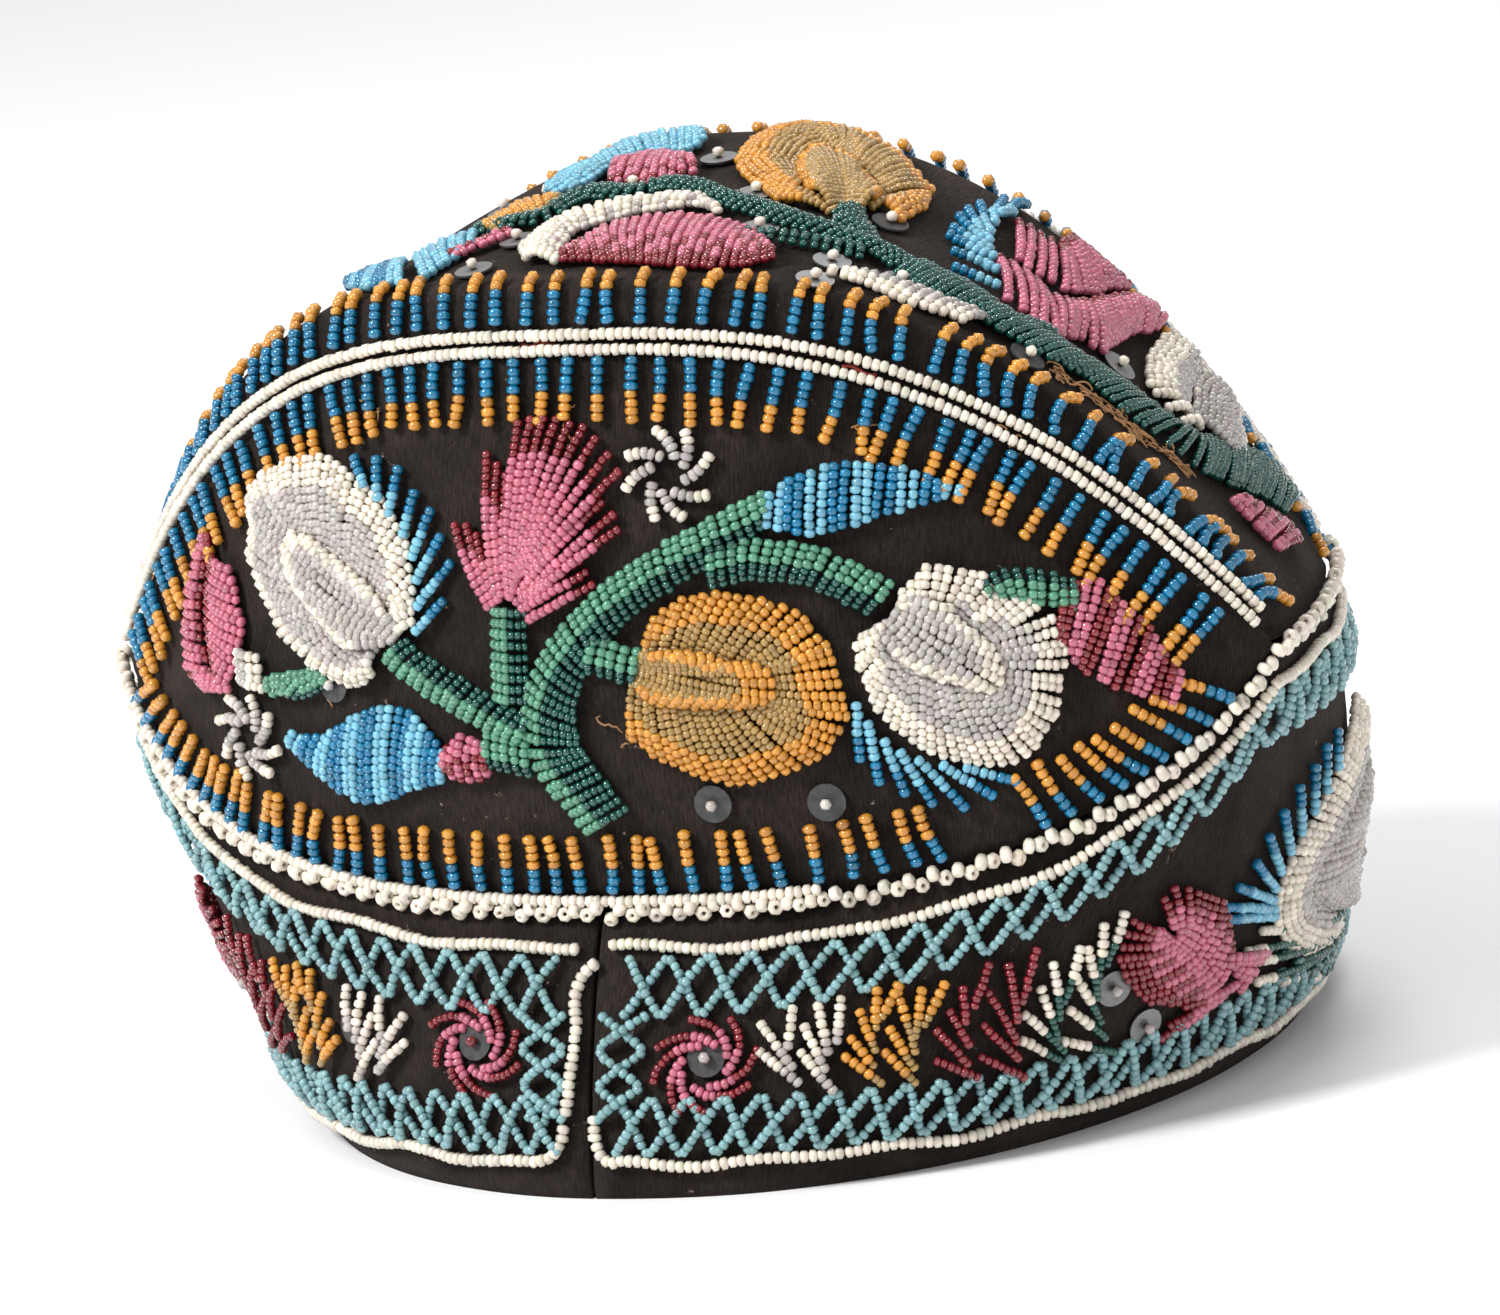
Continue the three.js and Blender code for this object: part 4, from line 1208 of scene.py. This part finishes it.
# Top motifs. On the dome lie a round gold flower, a pink flower under a white petal, a pink tulip in
# a blue calyx, a blue leaf with a berry, and white flowers at the ends, along one dark green stem.
top_gold = strings(
    on_top,
    foot=[(24.7, 55), (21.3, 61.5), (19.5, 69.5), (20.8, 73.5), (25, 72.2)],
    tip=[(26, 46.5), (20.5, 50), (13.5, 57), (9.6, 64.8), (8.6, 74), (10.9, 80.5), (15.9, 82.2),
         (18.7, 82.8)],
    runs=GOLD, arch=1.5)
top_gold += strings(
    on_top,
    foot=[(25.5, 71.5), (30.2, 65.5), (32.8, 63.3), (36.7, 57.5)],
    tip=[(20.5, 83), (23.9, 82.5), (27.6, 80.2), (32.2, 78), (36.9, 73.2), (41.9, 68)],
    runs=tipped("clear_gold", "amber", 2), arch=1.5)
top_gold += strings(
    on_top,
    foot=[(37.2, 51.7), (37.2, 56)],
    tip=[(42.6, 65.5), (43.4, 60.2), (43.4, 54.5), (42.9, 50.8)],
    runs=GOLD, arch=1.2)
top_gold += strings(
    on_top,
    foot=[(33.8, 46.2), (34.8, 47.8), (36.9, 49.2)],
    tip=[(27.3, 51.5), (21.8, 61), (20, 71.2), (23.7, 71), (27.6, 69), (31.7, 63.5), (36.7, 57.5),
         (37.4, 54.5)],
    runs=tipped("clear_gold", "amber", 3), arch=1.6, base=0.9)
top_gold += strings(
    on_top,
    foot=[(33.4, 46), (32.6, 48)],
    tip=[(24, 47), (20.6, 50.6)],
    runs=GOLD, arch=1.2)
bead_piece("top_gold_flower_beads", top_gold, ["top_gold_flower"])

top_pink = strings(
    on_top,
    foot=[(0, 19.8), (9, 19), (19.5, 16.8), (28.6, 16.8), (33, 21.8)],
    tip=[(-2.3, 23.5), (-0.8, 29.8), (1.3, 35.5), (9.6, 38.5), (19.5, 36.5), (25.7, 33.2), (31.7, 26.5)],
    runs=[[("dark_red", 4), ("pink", None)],
          [("dark_red", 3), ("pink", 3), ("dark_red", 2), ("pink", None)],
          [("dark_red", 5), ("pink", None)],
          [("dark_red", 2), ("pink", 2), ("dark_red", 3), ("pink", None)]], arch=1.2)
bead_piece("top_pink_flower_beads", top_pink, ["top_pink_flower"])
petal = strings(
    on_top,
    foot=[(-1.3, 19.8), (-3.9, 28.5), (-4.2, 33), (-0.8, 36.2), (5.7, 40), (13, 41.8), (16.6, 40.2)],
    tip=[(-8.3, 22), (-11.2, 27.5), (-10.7, 35), (-8.1, 40.5), (-2.9, 43.8), (3.4, 44.8), (11.4, 45),
         (17.7, 39.2)],
    runs=[[("ivory", None)], [("ivory", None)], [("opal", 2), ("ivory", None)]], arch=1.5)
petal += strings(
    on_top,
    foot=[(43, 19.4), (48.1, 18.4), (53.3, 16.6), (56.7, 16.8), (61.1, 18.4)],
    tip=[(42.5, 21.4), (46, 23.4), (51, 25), (57, 25), (63, 26)],
    runs=[("ivory", 2), ("opal", None)], arch=1.0)
bead_piece("top_white_petal_beads", petal)

top_leaf = strings(
    on_top,
    foot=[(-16.6, 50), (-13.8, 54.5), (-12.7, 62.5), (-8.3, 67.5), (-1.8, 68.5), (-0.8, 72.8)],
    tip=[(-20.3, 52.8), (-22.6, 60.8), (-21.1, 64.5), (-19.5, 68.2), (-17.9, 75.5), (-14.3, 79),
         (-7.8, 80.5), (-2.9, 76.5)],
    runs=[[("pale_blue", None)], tipped("pale_blue", "ivory", 1), tipped("pale_blue", "blue", 2)],
    arch=1.3)
bead_piece("top_blue_leaf_beads", top_leaf, ["top_blue_leaf"])
top_berry = strings(
    on_top,
    foot=[(-8.6, 54), (-0.3, 52), (2.6, 54.5), (5.5, 56.2)],
    tip=[(-12, 65), (-6.2, 67.8), (0.8, 63.5)],
    runs=[[("dark_red", 1), ("pink", 2), ("dark_red", 1), ("pink", None)],
          [("pink", 1), ("dark_red", 1), ("pink", None), ("dark_red", 1)]], arch=1.6)
top_berry += strings(
    on_top,
    foot=[(-22.6, 25), (-16.4, 33)],
    tip=[(-24.8, 26.6), (-18.6, 35)],
    runs=[[("pink", 1), ("dark_red", None)], [("pink", None)]], arch=0.8)
top_berry += strings(
    on_top,
    foot=[(93.2, 32), (95.4, 34), (97.2, 35.4), (98.6, 38)],
    tip=[(93.6, 42), (95.6, 54), (98, 66), (99.4, 62)],
    runs=[[("pink", 2), ("dark_red", None)], tipped("pink", "dark_red", 2)], arch=1.4)
bead_piece("top_berry_beads", top_berry)
top_left = strings(
    on_top,
    foot=[(-20, 35.2), (-18.5, 39), (-14.8, 40.2), (-14, 45.2)],
    tip=[(-25, 38.8), (-23.7, 43), (-22.6, 47.8), (-19.5, 48.8), (-14.8, 48)],
    runs=[("clear_gold", 2), ("amber", None)], arch=1.2)
bead_piece("top_gold_flower_left_beads", top_left, ["top_gold_flower_left"])
top_left_leaf = strings(
    on_top,
    foot=[(-24.4, 15.8), (-23.2, 22.8), (-22, 29)],
    tip=[(-33, 30), (-31.5, 35), (-25.6, 37)],
    runs=[("pale_blue", None)], arch=1.0)
top_left_leaf += strings(
    on_top,
    foot=[(-29, 14), (-37, 16), (-45, 24)],
    tip=[(-36, 30), (-42, 31), (-47, 30)],
    runs=STRIPES, arch=1.0)
bead_piece("top_left_leaf_beads", top_left_leaf)

top_calyx = spikes(
    on_top,
    feet=[(52, 73), (51, 70), (51.7, 64.5), (52.3, 60.5), (53.3, 58), (54.3, 54.8), (55.4, 52.2),
          (56.7, 49.5), (60.1, 42.5)],
    tips=[(52, 89), (50.2, 81.2), (48.4, 73.2), (47.8, 68.5), (47.8, 63.5), (48.4, 58.2), (49.1, 54),
          (51.5, 48), (53.6, 41.5)],
    runs=[("pale_blue", 3), ("blue", None)], base=0.5)
top_calyx += spikes(
    on_top,
    feet=[(51.6, 71), (52.6, 66), (53.4, 61.5), (54.4, 58), (55.4, 55), (56.6, 52.4), (58.4, 48)],
    tips=[(52.6, 78), (50.8, 72), (50.6, 66.5), (51.4, 62), (52.4, 58), (53.4, 54.4), (55.4, 49.6)],
    runs=[("pale_blue", None)], base=1.0)
bead_piece("top_calyx_beads", top_calyx)
top_tulip = strings(
    on_top,
    foot=[(58.5, 60.2), (60.6, 58.8), (62.1, 59.8), (63.7, 60.8), (65.3, 61.5), (67.3, 67.8), (68.4, 76),
          (69.7, 85.8)],
    tip=[(54.1, 75.5), (55.9, 76.5), (57.7, 76.8), (60.3, 79), (59.8, 89), (64.2, 89), (66.4, 91),
         (68.6, 92)],
    runs=tipped("pink", "dark_red", 3), arch=0.8)
top_tulip += strings(
    on_top,
    foot=[(62.4, 39), (65.3, 38.2), (67.3, 36.5), (69.2, 35.5), (70.2, 40.5), (71.2, 45.5), (73.1, 46),
          (73.6, 52.8), (73.8, 65.5), (75.4, 80.5)],
    tip=[(56.4, 55.5), (58, 56.8), (59.3, 57.2), (61.4, 57), (64, 55.2), (67.3, 60.5), (69.7, 77.5),
         (71, 87.5), (72.8, 93.2), (74.4, 93)],
    runs=tipped("pink", "dark_red", 2), arch=1.5)
bead_piece("top_tulip_beads", top_tulip, ["top_tulip"])
top_white = strings(
    on_top,
    foot=[(82, 86), (82.5, 74), (83, 66), (83.5, 60), (84.5, 57), (86, 56)],
    tip=[(76.7, 83), (76.7, 72), (77.4, 63), (79, 53), (81, 49), (84.5, 49)],
    runs=RIMMED, arch=1.6)
top_white += strings(
    on_top,
    foot=[(82, 87), (82.6, 76), (83.4, 68), (84.4, 60)],
    tip=[(87.5, 90), (89.5, 80), (91, 70), (91.5, 60)],
    runs=[[("ivory", 1), ("opal", None)], [("opal", None)], tipped("opal", "ivory", 1)], arch=1.6)
bead_piece("top_white_flower_beads", top_white, ["top_white_flower"])

TEAL_ROW = [("dark_teal", None)]
top_stem = stem_strings(
    on_top,
    route=[(-24.7, 37), (-17.9, 38), (-13.3, 40), (-12.2, 45.8), (-9.1, 49), (-1.3, 47.5), (3.1, 50.8),
           (8, 50), (13.3, 47), (17.7, 44.5), (24.7, 41.5), (31.2, 39), (37.2, 37), (42.9, 35.8),
           (47.1, 34.5), (50.4, 32)],
    width=(3.5, 4, 5, 6, 5, 5, 5, 6, 6.5, 6, 6, 7), runs=TEAL_ROW, slant=-0.5)
top_stem += strings(
    on_top,
    foot=[(49.4, 28), (54.3, 26), (58, 26), (64.5, 23), (71, 24), (75.4, 27), (79, 26), (81.9, 26)],
    tip=[(51.4, 37), (54.3, 36.5), (58, 36.5), (64.5, 34), (71, 36.5), (76, 38), (79.8, 41), (83.2, 44)],
    runs=TEAL_ROW, arch=1.4, count=36)
top_stem += strings(
    on_top,
    foot=[(82.5, 26), (86.8, 29), (89.2, 32), (92, 44), (94.6, 61), (97, 70)],
    tip=[(83.8, 45.5), (86.8, 55), (90.2, 76), (93.4, 92), (95, 96), (96.5, 98)],
    runs=TEAL_ROW, arch=1.4, count=26)
top_stem += stem_strings(
    on_top,
    route=[(35.4, 47.8), (37.4, 43.5), (40, 40.2), (42.6, 36.5)],
    width=(5, 6, 5), runs=TEAL_ROW, slant=0.2)
top_stem += stem_strings(
    on_top,
    route=[(24.5, 31), (31.5, 31.5), (39.3, 31.5), (43, 32)],
    width=(2, 3.5, 4), runs=TEAL_ROW, slant=0.2)
top_stem += stem_strings(on_top, route=[(66.6, 32), (68.8, 35.4)], width=5.5, runs=TEAL_ROW, slant=0)
bead_piece("top_stem_beads", top_stem, ["top_main_stem"])

# Band motifs. Between the lattices run pinwheels, sprays of loose strings, a pink flower and a big
# white flower in a blue calyx on each side. The left side repeats the right one.
BAND_WAY = 100


def over_band(x, y, lift):
    """Points over the band: millimetres round it from the front seam and hundredths of its height."""
    return raised(band_face, x / BAND_REACH, np.clip(y / BAND_WAY, 0, 1), lift)


def on_side(side, points, shift=2):
    """The same places on the right side, or mirrored to the left one and moved along the band."""
    if side > 0:
        return points
    return [(-x - shift, y) for x, y in points]


WHEEL_GLASS = [("pink", 4), ("dark_red", None)]
WHEEL = {"inner": 3.4, "outer": 8.1, "bead": 1.75, "turn": 0.3, "swirl": 1.05}
WHEEL_HUBS = {"right": (18, 21.8), "left": (-18.8, 24.2)}
SPRAYS = (
    # piece, slot, glass from foot to tip, shift on the left side, feet, tips
    ("white_spray", "white_beads", RIMMED, 6,
     [(33.3, 38), (31.8, 43), (30.1, 50), (39, 33.5), (36.7, 41), (36.4, 46.5), (37.2, 50)],
     [(25.5, 51), (24.9, 60.5), (29.3, 65), (31.6, 49.5), (31.3, 58.5), (32.7, 65), (36, 66)]),
    ("amber_spray", "amber_beads", GOLD, 9,
     [(46.5, 33.5), (44.2, 40), (43.6, 45), (42.5, 52.5), (42.8, 56),
      (52, 31.5), (50.8, 36.5), (50, 42), (49.1, 47), (49.7, 50.5)],
     [(38.5, 46), (38.7, 52), (39, 60.5), (40.8, 67), (44.2, 67),
      (44.5, 45.5), (44.2, 53), (43.9, 65), (47.7, 64), (51.1, 64)]),
    ("red_spray", "dark_red_beads", [("dark_red", None)], 10,
     [(62.3, 29), (59.7, 34), (58.6, 40), (56.6, 48), (56.9, 52.5),
      (71, 24.5), (68.4, 31), (66.9, 36.5), (65.5, 43), (64.9, 49)],
     [(53.4, 38.5), (51.7, 49), (52.8, 54.5), (54, 61), (57.2, 66),
      (60.9, 36), (59.2, 46.5), (58.3, 57), (60.3, 64), (64.3, 66)]),
)
for side_name, side in (("right", 1), ("left", -1)):
    wheel = pinwheel(on_band, WHEEL_HUBS[side_name], WHEEL_GLASS, **WHEEL)
    bead_piece("pinwheel_" + side_name, wheel)
    for name, slot, tones, shift, feet, tips in SPRAYS:
        feet, tips = on_side(side, feet, shift), on_side(side, tips, shift)
        bead_piece(name + "_" + side_name, spikes(over_band, feet, tips, tones, base=0.6, stand=0.5))

green_spray = spikes(
    over_band,
    feet=[(77.6, 25), (76.7, 28.5), (74.4, 33), (73.3, 39), (72.7, 44), (88.2, 21.5), (84.8, 27),
          (82.2, 32.5), (79.3, 40.5), (77.9, 46), (78.4, 50)],
    tips=[(67.2, 37.5), (65.8, 46), (67.2, 52.5), (68.1, 59), (72.6, 60), (75.4, 32), (74.2, 41.5),
          (73.2, 51), (73.6, 59), (75.4, 64), (79, 64)],
    runs=tipped("dark_teal", "ivory", 4), base=0.5, stand=0.4)
bead_piece("green_spray_right", green_spray)

for side_name, side in (("right", 1), ("left", -1)):
    bloom = spikes(
        over_band,
        feet=on_side(side, [(90.6, 50), (92.4, 47.5), (94.2, 45.5)]),
        tips=on_side(side, [(86.2, 61), (88, 62), (91.5, 58.5)]),
        runs=tipped("pink", "dark_red", 3), base=1.0, stand=0.6)
    bloom += strings(
        over_band,
        foot=on_side(side, [(89, 49.5), (93, 44.5), (97, 40), (101, 35), (105.5, 30), (109, 26.5)]),
        tip=on_side(side, [
            (80.6, 60), (80, 54), (81.4, 47.5), (84.6, 41.5), (88, 36), (92, 31), (97, 27.5)]),
        runs=[tipped("pink", "dark_red", 4), [("pink", 3), ("dark_red", None)]], arch=1.2)
    bloom += strings(
        over_band,
        foot=on_side(side, [(92.5, 44), (96.5, 39), (100.5, 34), (104.5, 29.5), (108.5, 26)]),
        tip=on_side(side, [(94.5, 54.5), (98.6, 50), (102.4, 45.5), (105.6, 40.5), (108, 36)]),
        runs=[tipped("pink", "dark_red", 4), tipped("pink", "dark_red", 2)], arch=1.2)
    bloom += strings(
        over_band,
        foot=on_side(side, [(107, 33), (111, 29.4), (114, 26)]),
        tip=on_side(side, [(121.5, 29), (119.5, 26), (116, 22.5)]),
        runs=[("pink", None)], arch=1.2)
    bloom += spikes(
        over_band,
        feet=on_side(side, [(113.5, 25), (111, 24), (108, 23)]),
        tips=on_side(side, [(101, 24), (99, 21), (98, 18.5)]),
        runs=tipped("pink", "dark_red", 4), base=0.8, stand=0.5)
    pink_name = "pink_flower_" + side_name
    bead_piece(pink_name + "_beads", bloom, ["band_" + pink_name])

    head = strings(
        over_band,
        foot=on_side(side, [
            (150, 27), (146, 29), (139, 31.5), (133, 34.5), (129.5, 38.5), (130, 42), (133, 45),
            (137, 47.5), (142, 50), (148, 53), (154, 56.5), (158, 60)]),
        tip=on_side(side, [
            (152, 20), (144, 20.6), (136, 22.8), (128, 27.5), (121.5, 34), (119, 40), (119.4, 46),
            (122, 51), (127, 56), (133.5, 60.5), (141, 64.5), (149, 68), (157, 70)]),
        runs=RIMMED, arch=2.0)
    head += strings(
        over_band,
        foot=on_side(side, [(158, 30), (156.5, 34), (156, 40), (156, 46), (157.5, 54)]),
        tip=on_side(side, [(148, 28), (138, 32), (130.5, 37.5), (131, 43.5), (140, 49.5), (150, 55)]),
        runs=[[("opal", None)], [("ivory", 1), ("opal", None)]], arch=2.2, base=0.8)
    head += strings(
        over_band,
        foot=on_side(side, [(158, 29), (158, 36), (158, 44), (159, 54)]),
        tip=on_side(side, [(164, 26), (168, 34), (169, 46), (165, 58)]),
        runs=tipped("opal", "ivory", 2), arch=1.8)
    white_name = "white_flower_" + side_name
    bead_piece(white_name + "_beads", head, ["band_" + white_name])
    calyx = spikes(
        over_band,
        feet=on_side(side, [
            (120, 37), (118.4, 39), (117.4, 41), (117, 43.5), (117.4, 46.5), (119, 50), (121.6, 53),
            (125, 56), (129, 59), (134, 62)]),
        tips=on_side(side, [
            (104, 41.5), (103, 44.5), (105.2, 48), (108.6, 52), (110.6, 57), (114, 61), (118.6, 64.6),
            (124, 67), (129, 69.4), (135, 70.6)]),
        runs=CALYX, base=0.8, stand=0 if side > 0 else 3)
    bead_piece("calyx_" + side_name + "_beads", calyx)
    stalk = spikes(
        over_band,
        feet=on_side(side, [(158, 24), (160, 22), (161, 20), (162, 17.6), (162, 15), (161, 12.6)]),
        tips=on_side(side, [(117, 34.4), (114.4, 31), (119, 27), (121, 22), (131, 18), (144, 13)]),
        runs=tipped("dark_teal", "ivory", 4), base=0.8, stand=1.0)
    stalk += spikes(
        over_band,
        feet=on_side(side, [(158, 25), (160, 21), (161, 19)]),
        tips=on_side(side, [(128, 30), (127, 26), (134, 21)]),
        runs=[("dark_teal", None)], base=0.9, stand=1.4)
    bead_piece("stalk_" + side_name + "_beads", stalk)

# Back motifs. The slope behind the dome has one plain flower with a leaf on each side, and the
# band's back a row of three pinwheels, in the same glass.
BACK_WHEEL_HEIGHT = 26
back_bloom = strings(
    on_back,
    foot=[(-6, 40), (0, 43), (6, 40)],
    tip=[(-14, 58), (-7, 64), (0, 66), (7, 64), (14, 58)],
    runs=tipped("pink", "dark_red", 3), arch=1.6)
back_bloom += stem_strings(on_back, route=[(0, 16), (0, 38)], width=5, runs=STEM, slant=0)
for side in (-1, 1):
    back_bloom += strings(
        on_back,
        foot=[(side * 8, 24), (side * 22, 30)],
        tip=[(side * 10, 36), (side * 24, 42)],
        runs=STRIPES, arch=1.0)
bead_piece("back_flower_beads", back_bloom)
back_wheels = []
for quarter in (-0.24, 0, 0.24):
    hub = (BAND_REACH * (np.pi + quarter * np.pi / 2), BACK_WHEEL_HEIGHT)
    back_wheels += pinwheel(on_band, hub, WHEEL_GLASS, **WHEEL)
bead_piece("back_pinwheel_beads", back_wheels)

# Sequins. Thin smoke-grey discs, scattered between the motifs, each held flat by one seed bead that
# stands on its middle.
SEQUIN_RADIUS = 3.1
SEQUIN_THICK = 0.35
SEQUIN_LIFT = 0.45
SEQUIN_HOLE = 0.5
SEQUIN_SIDES = 24
SEQUIN_BEAD_RADIUS, SEQUIN_BEAD_LENGTH = 0.95, 1.5
SEQUIN_BEAD_TILT = 0.25
FILM_DARK, FILM_PALE = (0.03, 0.031, 0.032), (0.075, 0.075, 0.075)
HELD_SEQUINS = (
    # face, across, up and glass of the bead, for the discs that model.glb holds
    (front_face, -0.43, 0.415, "opal"),
    (front_face, 0.215, 0.193, "opal"),
    (front_face, 0.387, 0.182, "opal"),
    (band_face, 0.195, 0.495, "opal"),
    (band_face, -0.204, 0.54, "dark_red"),
    (band_face, -0.468, 0.52, "opal"),
    (top_face, 0.40, 0.50, "ivory"),
    (top_face, 0.67, 0.20, "ivory"),
)
MORE_SEQUINS = (
    # face, across, up and glass of the bead, for the other discs
    (top_face, -0.26, 0.50, "ivory"),
    (top_face, -0.16, 0.19, "ivory"),
    (top_face, -0.14, 0.32, "ivory"),
    (top_face, -0.035, 0.525, "ivory"),
    (top_face, 0.053, 0.655, "ivory"),
    (top_face, 0.1875, 0.50, "ivory"),
    (top_face, 0.25, 0.36, "ivory"),
    (top_face, 0.39, 0.273, "ivory"),
    (top_face, 0.395, 0.172, "ivory"),
    (top_face, 0.4875, 0.27, "ivory"),
    (top_face, 0.73, 0.503, "ivory"),
    (band_face, 0.90, 0.405, "opal"),
    (band_face, 1.02, 0.24, "opal"),
    (band_face, -0.90, 0.405, "opal"),
)


def sequin_film():
    """Smoke-grey film, a little clear, with a faint grain of scratches."""
    material, shader = new_material("sequin_film", 0.5)
    coords = material.node_tree.nodes.new("ShaderNodeTexCoord").outputs
    grain = noise(material, coords["Object"], 900, 3, 0.7)
    wire(material, ramp(material, grain, (0.35, FILM_DARK), (0.7, FILM_PALE)), shader.inputs["Base Color"])
    shader.inputs["Transmission Weight"].default_value = 0.3
    bump(material, shader, grain, 0.00004)
    return material


def disc(spot, out):
    """A flat ring with a fine hole: four circles round the outward direction, joined in turn."""
    side = unit(np.cross(out, (0.3, 0.2, 1.0)))
    up = np.cross(out, side)
    turn = np.linspace(0, 2 * np.pi, SEQUIN_SIDES + 1)[:-1, None]
    around = side * np.cos(turn) + up * np.sin(turn)
    circles = (
        # radius, height over the underside
        (SEQUIN_RADIUS, 0),
        (SEQUIN_RADIUS, SEQUIN_THICK),
        (SEQUIN_HOLE, SEQUIN_THICK),
        (SEQUIN_HOLE, 0),
    )
    return np.concatenate([spot + around * radius + out * (SEQUIN_LIFT + rise) for radius, rise in circles])


film = sequin_film()
for number in range(1, len(HELD_SEQUINS) + 1):
    held = bpy.data.objects["sequin_%d" % number].data.materials
    held.clear()
    held.append(film)

sequin_beads = []
discs = []
for index, (face, across, up_share, glass) in enumerate(HELD_SEQUINS + MORE_SEQUINS):
    spot = face(np.array([across]), np.array([up_share]))
    out = normal_on(face, np.array([across]), np.array([up_share]))
    hole = unit(out + dice.normal(0, SEQUIN_BEAD_TILT, (1, 3)))
    middle = spot + out * (SEQUIN_LIFT + SEQUIN_THICK + SEQUIN_BEAD_RADIUS)
    size = (SEQUIN_BEAD_RADIUS, SEQUIN_BEAD_LENGTH, GLASS_NAMES.index(glass))
    sequin_beads.append(np.column_stack((middle, hole, [size])))
    if index >= len(HELD_SEQUINS):
        discs.append(disc(spot, out))
bead_piece("sequin_beads", sequin_beads)
disc_points = np.concatenate(discs)
ring = np.arange(len(disc_points)).reshape(len(discs), -1, SEQUIN_SIDES)
ahead = np.roll(ring, -1, axis=2)
quads = np.stack((ring, ahead, np.roll(ahead, -1, axis=1), np.roll(ring, -1, axis=1)), -1).reshape(-1, 4)
disc_mesh = bpy.data.meshes.new("sequin_discs")
disc_mesh.from_pydata((disc_points * MM).tolist(), [], quads[:, ::-1].tolist())
sequin_discs = new_object("sequin_discs", disc_mesh, [film])
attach(sequin_discs, "root")

# Loose threads. Brown thread shows where beads have come off: frayed ends along the stem at the
# right of the top panel, and a few curled ends on the front. In two places the red of an inner
# cloth shows in the front seam.
THREAD = 0.16
THREAD_TURNS = 9
THREAD_HEADING = 0.95
THREAD_BROWN = (0.33, 0.17, 0.07)
FRAYED_ROUTE = [(72, 22), (76, 21.5), (80, 22), (84, 24), (88.4, 28)]
FRAYED_ENDS = 70
CURLS = (
    # millimetres from the front panel's middle and over the rim's level
    (-46, 78),
    (-12, 104),
    (9, 73),
    (30, 108),
    (48, 118),
    (70, 112),
    (56, 76),
    (3, 122),
    (-34, 124),
    (-4, 98),
)
CLOTH_RED = (0.36, 0.05, 0.04)
GLIMPSE = 0.35


def tubes(name, paths, radius, material):
    """Closed four-sided tubes along paths of points, as one mesh: the path moved by the radius to
    four sides, joined in turn and capped."""
    points = []
    faces = []
    for path in paths:
        way = unit(np.gradient(path, axis=0))
        side = unit(np.cross(way, (0.31, 0.27, 0.91)))
        up = np.cross(way, side)
        start = len(points)
        for corner in ((1, 0), (0, 1), (-1, 0), (0, -1)):
            points += list(path + (side * corner[0] + up * corner[1]) * radius)
        count = len(path)
        for k in range(4):
            one, two = start + k * count, start + (k + 1) % 4 * count
            faces += [(one + i, one + i + 1, two + i + 1, two + i) for i in range(count - 1)]
        faces.append([start + k * count for k in (0, 1, 2, 3)])
        faces.append([start + k * count + count - 1 for k in (3, 2, 1, 0)])
    mesh = bpy.data.meshes.new(name)
    mesh.from_pydata((np.array(points) * MM).tolist(), [], faces)
    mesh.shade_smooth()
    piece = new_object(name, mesh, [material])
    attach(piece, "root")


def curl(over, x, y, reach):
    """A wandering path: its heading turns a little at random at each step."""
    heading = dice.uniform(0, 2 * np.pi)
    places = [(x, y)]
    for _ in range(THREAD_TURNS):
        heading += dice.normal(0, THREAD_HEADING)
        step = reach / THREAD_TURNS
        places.append((places[-1][0] + step * np.cos(heading), places[-1][1] + step * np.sin(heading)))
    places = np.array(places)
    lift = 0.3 + np.abs(dice.normal(0, 0.5)) * np.sin(np.pi * np.linspace(0, 1, len(places)))
    return over(*places.T, lift)


ends = []
for x, y in through(FRAYED_ROUTE, FRAYED_ENDS):
    ends.append(curl(on_top, x + dice.normal(0, 0.5), y + dice.normal(0, 1.2), dice.uniform(2, 4.5)))
for x, y in CURLS:
    ends += [curl(on_front, x, y, 6), curl(on_front, x + 0.6, y, 4)]
tubes("thread_ends", ends, THREAD, new_material("brown_thread", 0.8, THREAD_BROWN)[0])
glimpses = []
for first, last in ((-4.7, 1.2), (46.8, 51.8)):
    x = np.linspace(first, last, 8)
    below = 0.3 + 0.3 * np.sin(x * 1.4)
    glimpses.append(on_front(x, front_face(x / CORNER_X, np.ones_like(x))[:, 2] - below, 0.1))
tubes("inner_cloth", glimpses, GLIMPSE, new_material("red_cloth", 0.9, CLOTH_RED)[0])
